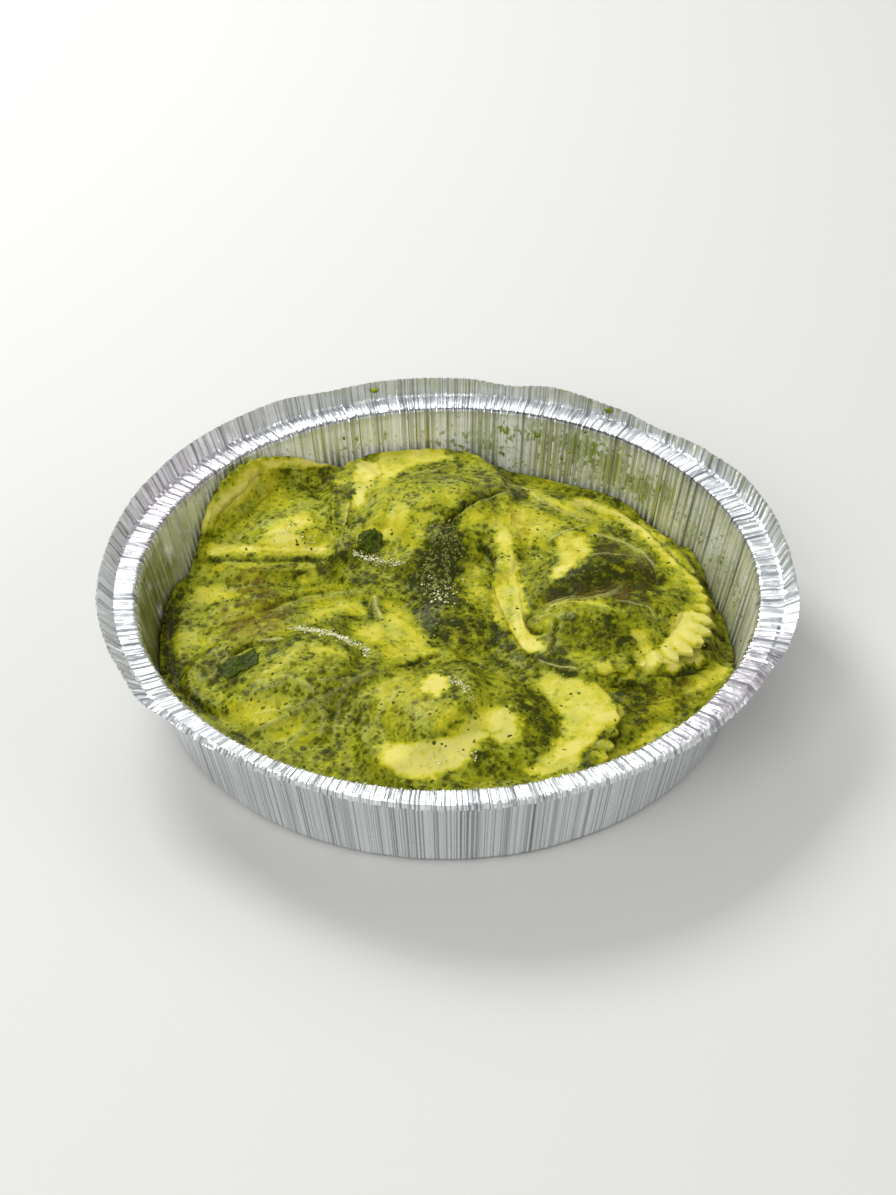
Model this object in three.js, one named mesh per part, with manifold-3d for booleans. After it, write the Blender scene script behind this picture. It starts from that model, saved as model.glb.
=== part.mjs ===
// Pesto ravioli in the round foil take-out pan that they are served in.
// Millimetres, +Z up. The origin is the centre of the pan's flat underside.
// The pan is one folded foil shell: flat base, fluted wall, level flange and a lip that
// stands up at the back and hangs down at the front. Three ravioli lie low in a thick
// pool of pesto, and five lie over them. Each raviolo is a sheet of two pressed doughs
// with a cut, toothed edge and a mound of filling, and it drapes over what it lies on.
import * as THREE from "three";
import { mergeVertices } from "three/addons/utils/BufferGeometryUtils.js";
import Module from "manifold-3d";

// The pan
const FLANGE_INNER_RADIUS = 93;
const FLANGE_HEIGHT = 34;
const FLANGE_WIDTH = 7;
const BASE_RADIUS = 85.5;
const BASE_CORNER = 3;
const FOIL = 0.6;
const FRONT_DENT = { bearing: 238, width: 22, depth: 1.7 };
const PLEATS = 62;
const PLEAT_DEPTH = 0.45;
const LIP_PLEAT_DEPTH = 0.25;
// The lip by bearing in degrees from +X: tilt above level, and reach from the flange.
const LIP = [
  { bearing: 0, tilt: 60, reach: 6 },
  { bearing: 12, tilt: 68, reach: 6.6 },
  { bearing: 24, tilt: 74, reach: 7 },
  { bearing: 36, tilt: 75, reach: 5.5 },
  { bearing: 48, tilt: 75, reach: 3.7 },
  { bearing: 58, tilt: 75, reach: 4.8 },
  { bearing: 70, tilt: 75, reach: 6.1 },
  { bearing: 78, tilt: 75, reach: 4.5 },
  { bearing: 87, tilt: 76, reach: 6.1 },
  { bearing: 100, tilt: 75, reach: 6.5 },
  { bearing: 111, tilt: 72, reach: 6.1 },
  { bearing: 122, tilt: 68, reach: 7.6 },
  { bearing: 140, tilt: 63, reach: 7.5 },
  { bearing: 156, tilt: 60, reach: 6.8 },
  { bearing: 172, tilt: 58, reach: 6.2 },
  { bearing: 190, tilt: 48, reach: 6.3 },
  { bearing: 207, tilt: 44, reach: 6 },
  { bearing: 218, tilt: -30, reach: 1.6 },
  { bearing: 240, tilt: -75, reach: 1.6 },
  { bearing: 272, tilt: -80, reach: 2 },
  { bearing: 300, tilt: -78, reach: 1.6 },
  { bearing: 320, tilt: -70, reach: 2.6 },
  { bearing: 334, tilt: -40, reach: 2.2 },
  { bearing: 342, tilt: 0, reach: 4.2 },
  { bearing: 349, tilt: 22, reach: 5.4 },
];

// The food
const GAP = 0.4;
const DOUGH_HALF = 1.4;
const EDGE_HALF = 1.1;
const BORDER_INSET = 3.2;
const TOOTH_PITCH = 7;
const TOOTH_DEPTH = 2.1;
const POOL_LEVEL = 12;
const POOL_SWELLS = [
  { x: 2, y: 2, radius: 26, rise: 7 },
  { x: 1, y: 12, radius: 13, rise: 3.5 },
  { x: 88, y: 14, radius: 26, rise: -6 },
];

const { cos, sin, hypot, atan2, exp, max, min, abs, round, PI } = Math;
const TURN = 2 * PI;
const radians = (degrees) => (degrees * PI) / 180;
const clamp01 = (value) => min(1, max(0, value));
const ease = (value) => clamp01(value) ** 2 * (3 - 2 * clamp01(value));
const mix = (from, to, share) => from + (to - from) * share;

// Smooth maximum: the two heights blend where they are closer than width.
function blendMax(a, b, width) {
  const near = max(width - abs(a - b), 0) / width;
  return max(a, b) + (near * near * width) / 4;
}

// Angle from one bearing to another, from -180 to 180 degrees.
const bearingGap = (from, to) => ((((to - from) % 360) + 540) % 360) - 180;
const bump = (bearing, at, width) => exp(-((bearingGap(at, bearing) / width) ** 2));

// Each raviolo: place of its centre, half sizes, turn in degrees, the height of its
// middle sheet, its slope, its mound (offset, radii, height above and below the sheet)
// and what it lies on. A crease is a valley across the mound: two ends, width and depth.
// The power makes an outline squarer or rounder; where none is given it is the usual one.
const RAVIOLI = {
  raviolo_left: {
    x: -51, y: 2, a: 35, b: 38, turn: 6, level: 12.5, slopeX: -0.03, slopeY: 0,
    mound: { s: 0, t: 0, a: 25, b: 27, rise: 5, sag: 3 }, under: [],
    creases: [{ from: [-20, 6], to: [22, 14], width: 4, depth: 1.6 }],
  },
  raviolo_front_right: {
    x: 51, y: -40, a: 38, b: 30, turn: 48, level: 13, slopeX: 0.04, slopeY: 0,
    mound: { s: 0, t: 4, a: 26, b: 18, rise: 4, sag: 3 }, under: [], creases: [],
  },
  raviolo_back_right: {
    x: 26, y: 51, a: 36, b: 31, turn: -22, level: 13.5, slopeX: -0.05, slopeY: -0.02,
    mound: { s: -2, t: 2, a: 26, b: 22, rise: 7, sag: 3 }, under: [],
    creases: [{ from: [-20, 12], to: [24, 8], width: 3, depth: 1.2 }],
  },
  raviolo_back_left: {
    x: -51, y: 55, a: 31, b: 28, turn: 12, level: 16.5, slopeX: 0, slopeY: 0, power: 2.15,
    mound: { s: 2, t: -4, a: 20, b: 18, rise: 5.5, sag: 2 }, under: ["raviolo_left"],
    creases: [{ from: [-22, -4], to: [2, 16], width: 4, depth: 2.4 }],
  },
  raviolo_front_left: {
    x: -36, y: -34, a: 38, b: 37, turn: 24, level: 17, slopeX: 0.02, slopeY: 0.02,
    mound: { s: 1, t: 5, a: 30, b: 25, rise: 6.5, sag: 2 }, under: ["raviolo_left"],
    creases: [
      { from: [-30, -12], to: [26, -8], width: 3, depth: 2.6 },
      { from: [-12, -24], to: [16, 6], width: 3, depth: 1.6 },
    ],
  },
  raviolo_back_centre: {
    x: -8, y: 50, a: 28, b: 37, turn: 4, level: 19.5, slopeX: 0, slopeY: 0.05,
    mound: { s: 2, t: -4, a: 22, b: 27, rise: 8, sag: 1.5 },
    under: ["raviolo_back_left", "raviolo_back_right"],
    creases: [{ from: [-20, -20], to: [16, -8], width: 5, depth: 2.2 }],
  },
  raviolo_front: {
    x: 12, y: -50, a: 36, b: 32, turn: -22, level: 17.5, slopeX: -0.02, slopeY: -0.02,
    power: 2.8, mound: { s: -6, t: -1, a: 26, b: 24, rise: 8, sag: 2 },
    under: ["raviolo_front_left", "raviolo_front_right"],
    creases: [{ from: [-20, 4], to: [2, 2], width: 5, depth: 1.2 }],
  },
  raviolo_right: {
    x: 47, y: 9, a: 31, b: 37, turn: 14, level: 21, slopeX: 0, slopeY: 0.02, power: 2.8,
    mound: { s: 0, t: -3, a: 24, b: 26, rise: 8.5, sag: 1.5 },
    under: ["raviolo_front_right", "raviolo_back_right", "raviolo_back_centre"],
    creases: [{ from: [-22, -4], to: [22, -2], width: 4.5, depth: 4.5 }],
  },
};

// Mesh resolution of a raviolo: points round the mound, and the share of the way
// from the mound's middle to its foot at which each ring lies.
const MOUND_POINTS = 24;
const TOP_RINGS = [1, 0.82, 0.55];
const UNDER_RINGS = [0.6, 1];
const OUTLINE_POWER = 3.2;
// Length of an outline for each unit of the sum of its half sizes.
const PERIMETER_SHARE = 3.4;
const MOUND_POWER = 0.8;

// Inner radius of the pan's wall at a height.
const wallRadius = (z) =>
  mix(BASE_RADIUS, FLANGE_INNER_RADIUS, clamp01(z / FLANGE_HEIGHT));

// Distance from a raviolo's centre to its smooth outline, in a direction of its own.
function outlineRadius(piece, angle) {
  const power = piece.power ?? OUTLINE_POWER;
  const along = abs(cos(angle) / piece.a) ** power;
  const across = abs(sin(angle) / piece.b) ** power;
  return (along + across) ** (-1 / power);
}

// Height of the pillow above or below the sheet, at a place in the piece's own axes.
function moundShare(piece, s, t) {
  const { mound } = piece;
  const d = hypot((s - mound.s) / mound.a, (t - mound.t) / mound.b);
  return d >= 1 ? 0 : (1 - d * d) ** MOUND_POWER;
}

function creaseDepth(piece, s, t) {
  let depth = 0;
  for (const { from, to, width, depth: full } of piece.creases) {
    const [dx, dy] = [to[0] - from[0], to[1] - from[1]];
    const share = clamp01(((s - from[0]) * dx + (t - from[1]) * dy) / (dx * dx + dy * dy));
    const away = hypot(s - from[0] - dx * share, t - from[1] - dy * share);
    depth += full * exp(-((away / width) ** 2));
  }
  return depth;
}

const topThickness = (piece, s, t) => {
  const share = moundShare(piece, s, t);
  return DOUGH_HALF + piece.mound.rise * share - creaseDepth(piece, s, t) * min(1, share * 2);
};
const underThickness = (piece, s, t) =>
  DOUGH_HALF + piece.mound.sag * moundShare(piece, s, t);

function toOwnAxes(piece, x, y) {
  const turn = radians(piece.turn);
  const [dx, dy] = [x - piece.x, y - piece.y];
  return [dx * cos(turn) + dy * sin(turn), dy * cos(turn) - dx * sin(turn)];
}

// Height of a piece's middle sheet: its own sloping plane, lifted over what lies below.
const DRAPE_BLEND = 7;
function sheetHeight(piece, x, y) {
  const [s, t] = toOwnAxes(piece, x, y);
  let z = piece.level + piece.slopeX * (x - piece.x) + piece.slopeY * (y - piece.y);
  for (const name of piece.under) {
    const below = topHeight(RAVIOLI[name], x, y) + GAP + underThickness(piece, s, t);
    z = blendMax(z, below, DRAPE_BLEND);
  }
  return z;
}

// Height of a piece's top, fading to the floor of the pan outside its outline.
const EDGE_FADE = 0.3;
function topHeight(piece, x, y) {
  const [s, t] = toOwnAxes(piece, x, y);
  const outside = hypot(s, t) / outlineRadius(piece, atan2(t, s)) - 1.02;
  const fade = 1 - ease(outside / EDGE_FADE);
  return (sheetHeight(piece, x, y) + topThickness(piece, s, t)) * fade;
}

// A place on the middle sheet. Where the sheet would pass the wall, it bends up along it.
const WALL_CLEARANCE = DOUGH_HALF + PLEAT_DEPTH + GAP;
const WALL_RISE = 0.96;
const WALL_BLEND = 3;
function sheetPoint(piece, s, t) {
  const turn = radians(piece.turn);
  const x = piece.x + s * cos(turn) - t * sin(turn);
  const y = piece.y + s * sin(turn) + t * cos(turn);
  const z = sheetHeight(piece, x, y);
  const r = hypot(x, y);
  const past = blendMax(r - (wallRadius(z) - WALL_CLEARANCE), 0, WALL_BLEND);
  const lifted = z + WALL_RISE * past;
  const kept = min(r, wallRadius(lifted) - WALL_CLEARANCE);
  return new THREE.Vector3((x * kept) / r, (y * kept) / r, lifted);
}

// The sheet's normal, by small steps to both sides.
function sheetNormal(piece, s, t) {
  const step = 0.5;
  const east = sheetPoint(piece, s + step, t).sub(sheetPoint(piece, s - step, t));
  const north = sheetPoint(piece, s, t + step).sub(sheetPoint(piece, s, t - step));
  return east.cross(north).normalize();
}

// Joins rings of points, ordered from the bottom pole round the outside to the top
// pole, into one closed surface. Neighbouring rings may have different numbers of
// points, spaced evenly by angle.
function closedSurface(bottomPole, rings, topPole) {
  const points = [bottomPole, ...rings.flat(), topPole];
  const triangles = [];
  const starts = [];
  let next = 1;
  for (const ring of rings) {
    starts.push(next);
    next += ring.length;
  }
  const at = (ring, i) => starts[ring] + (i % rings[ring].length);
  rings[0].forEach((_, i) => triangles.push(at(0, i + 1), at(0, i), 0));
  for (let k = 0; k + 1 < rings.length; k++) {
    const [countA, countB] = [rings[k].length, rings[k + 1].length];
    let i = 0;
    let j = 0;
    while (i < countA || j < countB) {
      if (j === countB || (i < countA && (i + 1) * countB <= (j + 1) * countA)) {
        triangles.push(at(k, i), at(k, i + 1), at(k + 1, j));
        i++;
      } else {
        triangles.push(at(k, i), at(k + 1, j + 1), at(k + 1, j));
        j++;
      }
    }
  }
  const last = rings.length - 1;
  const top = points.length - 1;
  rings[last].forEach((_, i) => triangles.push(at(last, i), at(last, i + 1), top));
  const geometry = new THREE.BufferGeometry().setFromPoints(points);
  geometry.setIndex(triangles);
  return geometry;
}

const wasm = await Module();
wasm.setup();

function toSolid(geometry) {
  const merged = mergeVertices(geometry.clone(), 1e-4);
  return new wasm.Manifold(
    new wasm.Mesh({
      numProp: 3,
      vertProperties: merged.attributes.position.array,
      triVerts: new Uint32Array(merged.index.array),
    }),
  );
}

// The largest connected body of a solid, as three.js geometry.
function toGeometry(solid) {
  const bodies = solid.decompose().sort((p, q) => q.volume() - p.volume());
  const { vertProperties, triVerts, numProp, numVert } = bodies[0].getMesh();
  const places = new Float32Array(numVert * 3);
  for (let i = 0; i < numVert; i++) {
    places.set(vertProperties.subarray(i * numProp, i * numProp + 3), i * 3);
  }
  const geometry = new THREE.BufferGeometry();
  geometry.setAttribute("position", new THREE.BufferAttribute(places, 3));
  geometry.setIndex(new THREE.BufferAttribute(triVerts, 1));
  return geometry;
}

// A raviolo's closed surface, grown on every side by a margin.
function ravioloSurface(piece, margin) {
  const teeth = round((PERIMETER_SHARE * (piece.a + piece.b)) / TOOTH_PITCH);
  const { mound } = piece;
  // A point of the dough's face, pushed straight up or down by the filling.
  const skin = (s, t, side) => {
    const thickness = side > 0 ? topThickness(piece, s, t) : underThickness(piece, s, t);
    const point = sheetPoint(piece, s, t);
    point.addScaledVector(sheetNormal(piece, s, t), side * (DOUGH_HALF + margin));
    point.z += side * (thickness - DOUGH_HALF);
    return point;
  };
  const moundRing = (share, side) =>
    Array.from({ length: MOUND_POINTS }, (_, i) => {
      const angle = (i / MOUND_POINTS) * TURN;
      const s = mound.s + share * mound.a * cos(angle);
      return skin(s, mound.t + share * mound.b * sin(angle), side);
    });
  // A point of the pressed border, at a distance in from the outline.
  const border = (angle, inset, half, side) => {
    const r = outlineRadius(piece, angle) - inset;
    const [s, t] = [r * cos(angle), r * sin(angle)];
    return sheetPoint(piece, s, t).addScaledVector(sheetNormal(piece, s, t), side * half);
  };
  const edgeRing = (side) =>
    Array.from({ length: teeth * 2 }, (_, i) => {
      const inset = (i % 2 ? TOOTH_DEPTH : 0) - margin;
      return border((i / (teeth * 2)) * TURN, inset, EDGE_HALF + margin, side);
    });
  const borderRing = (side) =>
    Array.from({ length: teeth }, (_, i) =>
      border((i / teeth) * TURN, BORDER_INSET, DOUGH_HALF + margin, side),
    );
  const rings = [
    ...UNDER_RINGS.map((share) => moundRing(share, -1)),
    borderRing(-1),
    edgeRing(-1),
    edgeRing(1),
    borderRing(1),
    ...TOP_RINGS.map((share) => moundRing(share, 1)),
  ];
  return closedSurface(skin(mound.s, mound.t, -1), rings, skin(mound.s, mound.t, 1));
}

// The lip at a bearing: a smooth step from each entry of its list to the next.
function lipAt(bearing) {
  const next = max(0, LIP.findIndex((entry) => entry.bearing > bearing));
  const [from, to] = [LIP.at(next - 1), LIP.at(next)];
  const span = next > 0 ? to.bearing - from.bearing : 360 - from.bearing;
  const share = ease((bearing - from.bearing) / span);
  return {
    tilt: radians(mix(from.tilt, to.tilt, share)),
    reach: mix(from.reach, to.reach, share),
  };
}

// The flange's outer radius, with the dent at the front left.
const flangeOuter = (bearing) =>
  FLANGE_INNER_RADIUS +
  FLANGE_WIDTH -
  FRONT_DENT.depth * bump(bearing, FRONT_DENT.bearing, FRONT_DENT.width);

// One ring round the pan, at a radius and height, with the pleats pressed into it.
function panRing(profile, pleatDepth) {
  const count = PLEATS * 2;
  return Array.from({ length: count }, (_, i) => {
    const angle = (i / count) * TURN;
    const { r, z } = profile((angle * 180) / PI);
    const pleated = r + (i % 2 ? pleatDepth : -pleatDepth);
    return new THREE.Vector3(pleated * cos(angle), pleated * sin(angle), z);
  });
}

function foilPan() {
  const still = (r, z) => () => ({ r, z });
  const brink = (z) => (bearing) => ({ r: flangeOuter(bearing) - FOIL, z });
  const wallMid = FLANGE_HEIGHT * 0.55;
  // A point of the lip: a share of its length out from the flange, on the outer or
  // inner face of the foil.
  const lip = (share, face) => (bearing) => {
    const { tilt, reach } = lipAt(bearing);
    const [along, off] = [share * reach, face * FOIL];
    return {
      r: flangeOuter(bearing) + along * cos(tilt) + off * sin(tilt),
      z: FLANGE_HEIGHT + FOIL + along * sin(tilt) - off * cos(tilt),
    };
  };
  const outside = [
    [still(BASE_RADIUS - BASE_CORNER, 0), 0],
    [still(BASE_RADIUS - BASE_CORNER * 0.3, BASE_CORNER * 0.3), 0],
    [still(wallRadius(BASE_CORNER) + FOIL, BASE_CORNER), PLEAT_DEPTH],
    [still(wallRadius(wallMid) + FOIL, wallMid), PLEAT_DEPTH],
    [still(FLANGE_INNER_RADIUS + FOIL, FLANGE_HEIGHT - 1), PLEAT_DEPTH],
    [brink(FLANGE_HEIGHT - 0.2), LIP_PLEAT_DEPTH],
    [lip(0.5, 0.5), LIP_PLEAT_DEPTH],
    [lip(1, 0.5), LIP_PLEAT_DEPTH],
  ];
  const inside = [
    [lip(1, -0.5), LIP_PLEAT_DEPTH],
    [lip(0.5, -0.5), LIP_PLEAT_DEPTH],
    [brink(FLANGE_HEIGHT + FOIL), LIP_PLEAT_DEPTH],
    [still(FLANGE_INNER_RADIUS, FLANGE_HEIGHT + FOIL - 0.3), PLEAT_DEPTH],
    [still(wallRadius(wallMid), wallMid), PLEAT_DEPTH],
    [still(wallRadius(BASE_CORNER + FOIL) - 0.3, BASE_CORNER + FOIL), PLEAT_DEPTH],
    [still(BASE_RADIUS - BASE_CORNER, FOIL), 0],
  ];
  const rings = [...outside, ...inside].map(([profile, pleat]) => panRing(profile, pleat));
  return closedSurface(new THREE.Vector3(0, 0, 0), rings, new THREE.Vector3(0, 0, FOIL));
}

// The pool of pesto: heaped in the valley between the ravioli, hollow at the right.
const POOL_POINTS = 60;
const POOL_RINGS = [1, 0.84, 0.66, 0.48, 0.3, 0.14];
function poolHeight(x, y) {
  let height = POOL_LEVEL + 0.5 * sin(x / 6) * cos(y / 7);
  for (const swell of POOL_SWELLS) {
    height += swell.rise * exp(-((hypot(x - swell.x, y - swell.y) / swell.radius) ** 2));
  }
  return height;
}

function pestoPool() {
  const bottom = FOIL + GAP;
  const clear = PLEAT_DEPTH + GAP;
  const ring = (radius, height) =>
    Array.from({ length: POOL_POINTS }, (_, i) => {
      const angle = (i / POOL_POINTS) * TURN;
      const [x, y] = [radius * cos(angle), radius * sin(angle)];
      return new THREE.Vector3(x, y, height ?? poolHeight(x, y));
    });
  const rings = [
    ring(BASE_RADIUS - BASE_CORNER - clear, bottom),
    ring(wallRadius(BASE_CORNER + 1) - clear - 0.3, BASE_CORNER + 1),
    ...POOL_RINGS.map((share) => ring(share * (wallRadius(BASE_CORNER + 3) - clear))),
  ];
  return closedSurface(
    new THREE.Vector3(0, 0, bottom),
    rings,
    new THREE.Vector3(0, 0, poolHeight(0, 0)),
  );
}

// A torn piece of basil: a thin wavy leaf that lies on a raviolo's top.
const LEAVES = {
  basil_left: { on: "raviolo_front_left", x: -62, y: -22, a: 7, b: 4.2, turn: 30 },
  basil_centre: { on: "raviolo_back_centre", x: -24, y: 36, a: 5, b: 3.6, turn: -20 },
};
const LEAF_HALF = 0.35;
const LEAF_LIFT = 1.1;
const LEAF_POINTS = 14;
function basilLeaf(leaf) {
  const piece = RAVIOLI[leaf.on];
  const face = (share, angle, side) => {
    const pointed = 1 - 0.25 * cos(2 * angle) * share;
    const u = share * leaf.a * cos(angle);
    const v = share * leaf.b * sin(angle) * pointed;
    const turn = radians(leaf.turn);
    const x = leaf.x + u * cos(turn) - v * sin(turn);
    const y = leaf.y + u * sin(turn) + v * cos(turn);
    const wave = 0.2 * (1 + sin(angle * 3)) * share;
    const [s, t] = toOwnAxes(piece, x, y);
    const on = sheetHeight(piece, x, y) + topThickness(piece, s, t);
    return new THREE.Vector3(x, y, on + LEAF_LIFT + wave + side * LEAF_HALF);
  };
  const ring = (share, side) =>
    Array.from({ length: LEAF_POINTS }, (_, i) => face(share, (i / LEAF_POINTS) * TURN, side));
  const rings = [ring(0.6, -1), ring(1, -1), ring(1, 1), ring(0.6, 1)];
  return closedSurface(face(0, 0, -1), rings, face(0, 0, 1));
}

const finish = (color, roughness, metalness = 0) =>
  new THREE.MeshStandardMaterial({ color, roughness, metalness });
const FOIL_FINISH = finish(0xc9cbcc, 0.3, 1);
const DOUGH_FINISH = finish(0xb3a62f, 0.4);
const PESTO_FINISH = finish(0x4a5a12, 0.35);
const BASIL_FINISH = finish(0x1e3a12, 0.5);

const group = new THREE.Group();
const add = (name, geometry, material) => {
  const mesh = new THREE.Mesh(geometry, material);
  mesh.name = name;
  group.add(mesh);
};

add("foil_pan", foilPan(), FOIL_FINISH);

// Every raviolo keeps its gap to those laid after it, and the pool to all of them.
const names = Object.keys(RAVIOLI);
const plain = names.map((name) => toSolid(ravioloSurface(RAVIOLI[name], 0)));
const grown = names.map((name, i) => toSolid(ravioloSurface(RAVIOLI[name], GAP)).add(plain[i]));
names.forEach((name, i) => {
  let solid = plain[i];
  for (const later of grown.slice(i + 1)) solid = solid.subtract(later);
  add(name, toGeometry(solid), DOUGH_FINISH);
});

let pool = toSolid(pestoPool());
for (const piece of grown) pool = pool.subtract(piece);
add("pesto_pool", toGeometry(pool), PESTO_FINISH);

for (const [name, leaf] of Object.entries(LEAVES)) {
  const rest = grown[names.indexOf(leaf.on)];
  add(name, toGeometry(toSolid(basilLeaf(leaf)).subtract(rest)), BASIL_FINISH);
}

export default group;
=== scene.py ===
# %% [markdown]
# # Pesto ravioli in a foil pan
#
# Eight big square ravioli lie in a round foil take-out pan. They were turned in pesto, so
# oil, chopped basil and ground nuts cover the dough, and only some borders and the backs
# of some pillows are still bare and yellow. This lesson builds the food and the foil over
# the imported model: first the camera and the light, then the foil, then the ravioli, the
# pool of pesto, the leaves, and last the loose flecks that Geometry Nodes strews on them.

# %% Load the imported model
import math

import bpy
import numpy as np
from mathutils import Matrix, Vector


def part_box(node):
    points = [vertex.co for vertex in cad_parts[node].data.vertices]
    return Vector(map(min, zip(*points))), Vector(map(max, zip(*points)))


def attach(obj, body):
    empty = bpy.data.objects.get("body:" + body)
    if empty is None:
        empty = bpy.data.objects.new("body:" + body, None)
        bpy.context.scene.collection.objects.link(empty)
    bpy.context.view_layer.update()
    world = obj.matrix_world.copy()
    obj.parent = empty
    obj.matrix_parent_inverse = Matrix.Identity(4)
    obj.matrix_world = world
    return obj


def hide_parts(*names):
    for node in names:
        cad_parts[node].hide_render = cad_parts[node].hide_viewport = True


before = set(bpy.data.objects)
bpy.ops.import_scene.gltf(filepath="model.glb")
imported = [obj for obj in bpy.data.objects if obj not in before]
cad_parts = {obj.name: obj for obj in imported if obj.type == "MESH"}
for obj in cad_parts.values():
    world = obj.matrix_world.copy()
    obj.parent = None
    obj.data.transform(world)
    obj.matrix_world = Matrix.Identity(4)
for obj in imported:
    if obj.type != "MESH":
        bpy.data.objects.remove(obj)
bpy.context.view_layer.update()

MM = 0.001
print("nodes:", ", ".join(sorted(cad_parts)))

# %% [markdown]
# ## Driving sizes
#
# The pan is the common eight inch one. Its flange, its depth and the lip that was crimped
# for a lid set every other size here, in millimetres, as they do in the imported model.
# A bearing is an angle round the pan in degrees, from the right side towards the back.

# %% Sizes of the pan and the food
FLANGE_INNER = 93.0
FLANGE_HEIGHT = 34.0
FLANGE_WIDTH = 7.0
BASE_RADIUS = 85.5
BASE_CORNER = 3.0
CAD_FOIL = 0.6
DOUGH_HALF = 1.4
EDGE_HALF = 1.1
TOOTH_PITCH = 5.6
TOOTH_DEPTH = 2.1
GAP = 0.4
TURN = 2 * math.pi

pan_low, pan_high = (np.array(corner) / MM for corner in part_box("foil_pan"))
print("pan box in mm:", np.round(pan_high - pan_low, 1))

# %% [markdown]
# ## Camera
#
# The view is a plate-side one, looking down at about 38 degrees. The lens is long, because
# the flange's ellipse is nearly as round at the back as at the front. The camera stands
# still at that place, rolled by half a degree, as the photograph is.

# %% Camera
CAMERA_TARGET = np.array([0.234, 11.024, 20.0])
CAMERA_DISTANCE = 900.0
CAMERA_ELEVATION = math.radians(37.744)
CAMERA_ROLL = math.radians(-0.6365)
CAMERA_LENS = 88.78
SENSOR_HEIGHT = 36.0


def camera_axes():
    """Unit vectors to the right, up and forward, as the camera stands."""
    e, roll = CAMERA_ELEVATION, CAMERA_ROLL
    right = np.array([1.0, 0.0, 0.0])
    up = np.array([0.0, math.sin(e), math.cos(e)])
    forward = np.array([0.0, math.cos(e), -math.sin(e)])
    rolled_right = math.cos(roll) * right + math.sin(roll) * up
    rolled_up = math.cos(roll) * up - math.sin(roll) * right
    return rolled_right, rolled_up, forward


right, up, forward = camera_axes()
CAMERA_PLACE = CAMERA_TARGET - CAMERA_DISTANCE * forward
camera_data = bpy.data.cameras.new("camera")
camera_data.sensor_fit = "VERTICAL"
camera_data.sensor_height = SENSOR_HEIGHT
camera_data.lens = CAMERA_LENS
camera_data.clip_start = 0.01
camera = bpy.data.objects.new("camera", camera_data)
turned = Matrix([[right[i], up[i], -forward[i]] for i in range(3)]).to_4x4()
camera.matrix_world = Matrix.Translation(Vector(CAMERA_PLACE * MM)) @ turned
bpy.context.collection.objects.link(camera)
bpy.context.scene.camera = camera
print("camera at", np.round(CAMERA_PLACE * MM, 3))

# %% [markdown]
# ## Floor and light
#
# Wet pesto and foil are both read by what they mirror. A soft window from the back left
# gives the glints, a large one from the front left lights the food, two weaker ones fill
# the back and the right, and a pale world keeps the foil from going black between them.

# %% Floor and light
LIGHTS = {
    "key_light": {"place": (-0.5, 0.65, 0.8), "size": 0.4, "power": 8.4},
    "back_light": {"place": (-0.12, 1.05, 0.8), "size": 0.45, "power": 2.6},
    "fill_light": {"place": (0.85, -0.1, 0.55), "size": 0.7, "power": 1.8},
    "front_light": {"place": (-0.35, -0.85, 0.9), "size": 0.8, "power": 8.3},
}
WORLD_LIGHT = 0.4
FLOOR_GREY = (0.62, 0.62, 0.6, 1.0)


def add_softbox(name, place, size, power):
    """A square area light that faces the middle of the pan."""
    data = bpy.data.lights.new(name, "AREA")
    data.size = size
    data.energy = power
    lamp = bpy.data.objects.new(name, data)
    lamp.location = place
    lamp.rotation_euler = (-Vector(place)).to_track_quat("-Z", "Y").to_euler()
    bpy.context.collection.objects.link(lamp)


for name, light in LIGHTS.items():
    add_softbox(name, **light)

world = bpy.data.worlds.new("studio")
world.use_nodes = True
world.node_tree.nodes["Background"].inputs["Color"].default_value = (1.0, 1.0, 0.98, 1)
world.node_tree.nodes["Background"].inputs["Strength"].default_value = WORLD_LIGHT
bpy.context.scene.world = world
bpy.context.scene.view_settings.view_transform = "Standard"


def plain_material(name, color, roughness):
    """A Principled material; its tree and its shader node."""
    material = bpy.data.materials.new(name)
    material.use_nodes = True
    shader = material.node_tree.nodes["Principled BSDF"]
    shader.inputs["Base Color"].default_value = color
    shader.inputs["Roughness"].default_value = roughness
    return material, material.node_tree, shader


floor_mesh = bpy.data.meshes.new("floor")
floor_mesh.from_pydata([(-3, -3, 0), (3, -3, 0), (3, 3, 0), (-3, 3, 0)], [], [(0, 1, 2, 3)])
floor_mesh.materials.append(plain_material("floor", FLOOR_GREY, 0.7)[0])
floor = bpy.data.objects.new("floor", floor_mesh)
bpy.context.collection.objects.link(floor)

# %% [markdown]
# ## Helpers for shapes
#
# Nothing on this object is quite regular, so every shape below is a rule plus a little
# noise. The noise is made here from hashed whole numbers, so that it is the same on
# every run. Meshes are filled from arrays, because a loop over points would be slow.

# %% Noise, meshes and soft steps


def lattice_angle(ix, iy, seed):
    """A fixed pseudo-random angle for each crossing of a grid."""
    h = (ix * 374761393 + iy * 668265263 + seed * 974711111) & 0xFFFFFFFF
    h = ((h ^ (h >> 13)) * 1274126177) & 0xFFFFFFFF
    return ((h ^ (h >> 16)) & 0xFFFF) * (TURN / 65536.0)


def noise(x, y, size, seed=0):
    """Smooth gradient noise from about -1 to 1, with features of that size."""
    x, y = np.asarray(x, float) / size, np.asarray(y, float) / size
    ix, iy = np.floor(x).astype(np.int64), np.floor(y).astype(np.int64)
    fx, fy = x - ix, y - iy
    u, v = (f * f * f * (f * (f * 6 - 15) + 10) for f in (fx, fy))

    def corner(dx, dy):
        angle = lattice_angle(ix + dx, iy + dy, seed)
        return np.cos(angle) * (fx - dx) + np.sin(angle) * (fy - dy)

    low = corner(0, 0) * (1 - u) + corner(1, 0) * u
    high = corner(0, 1) * (1 - u) + corner(1, 1) * u
    return 1.5 * (low * (1 - v) + high * v)


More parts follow.
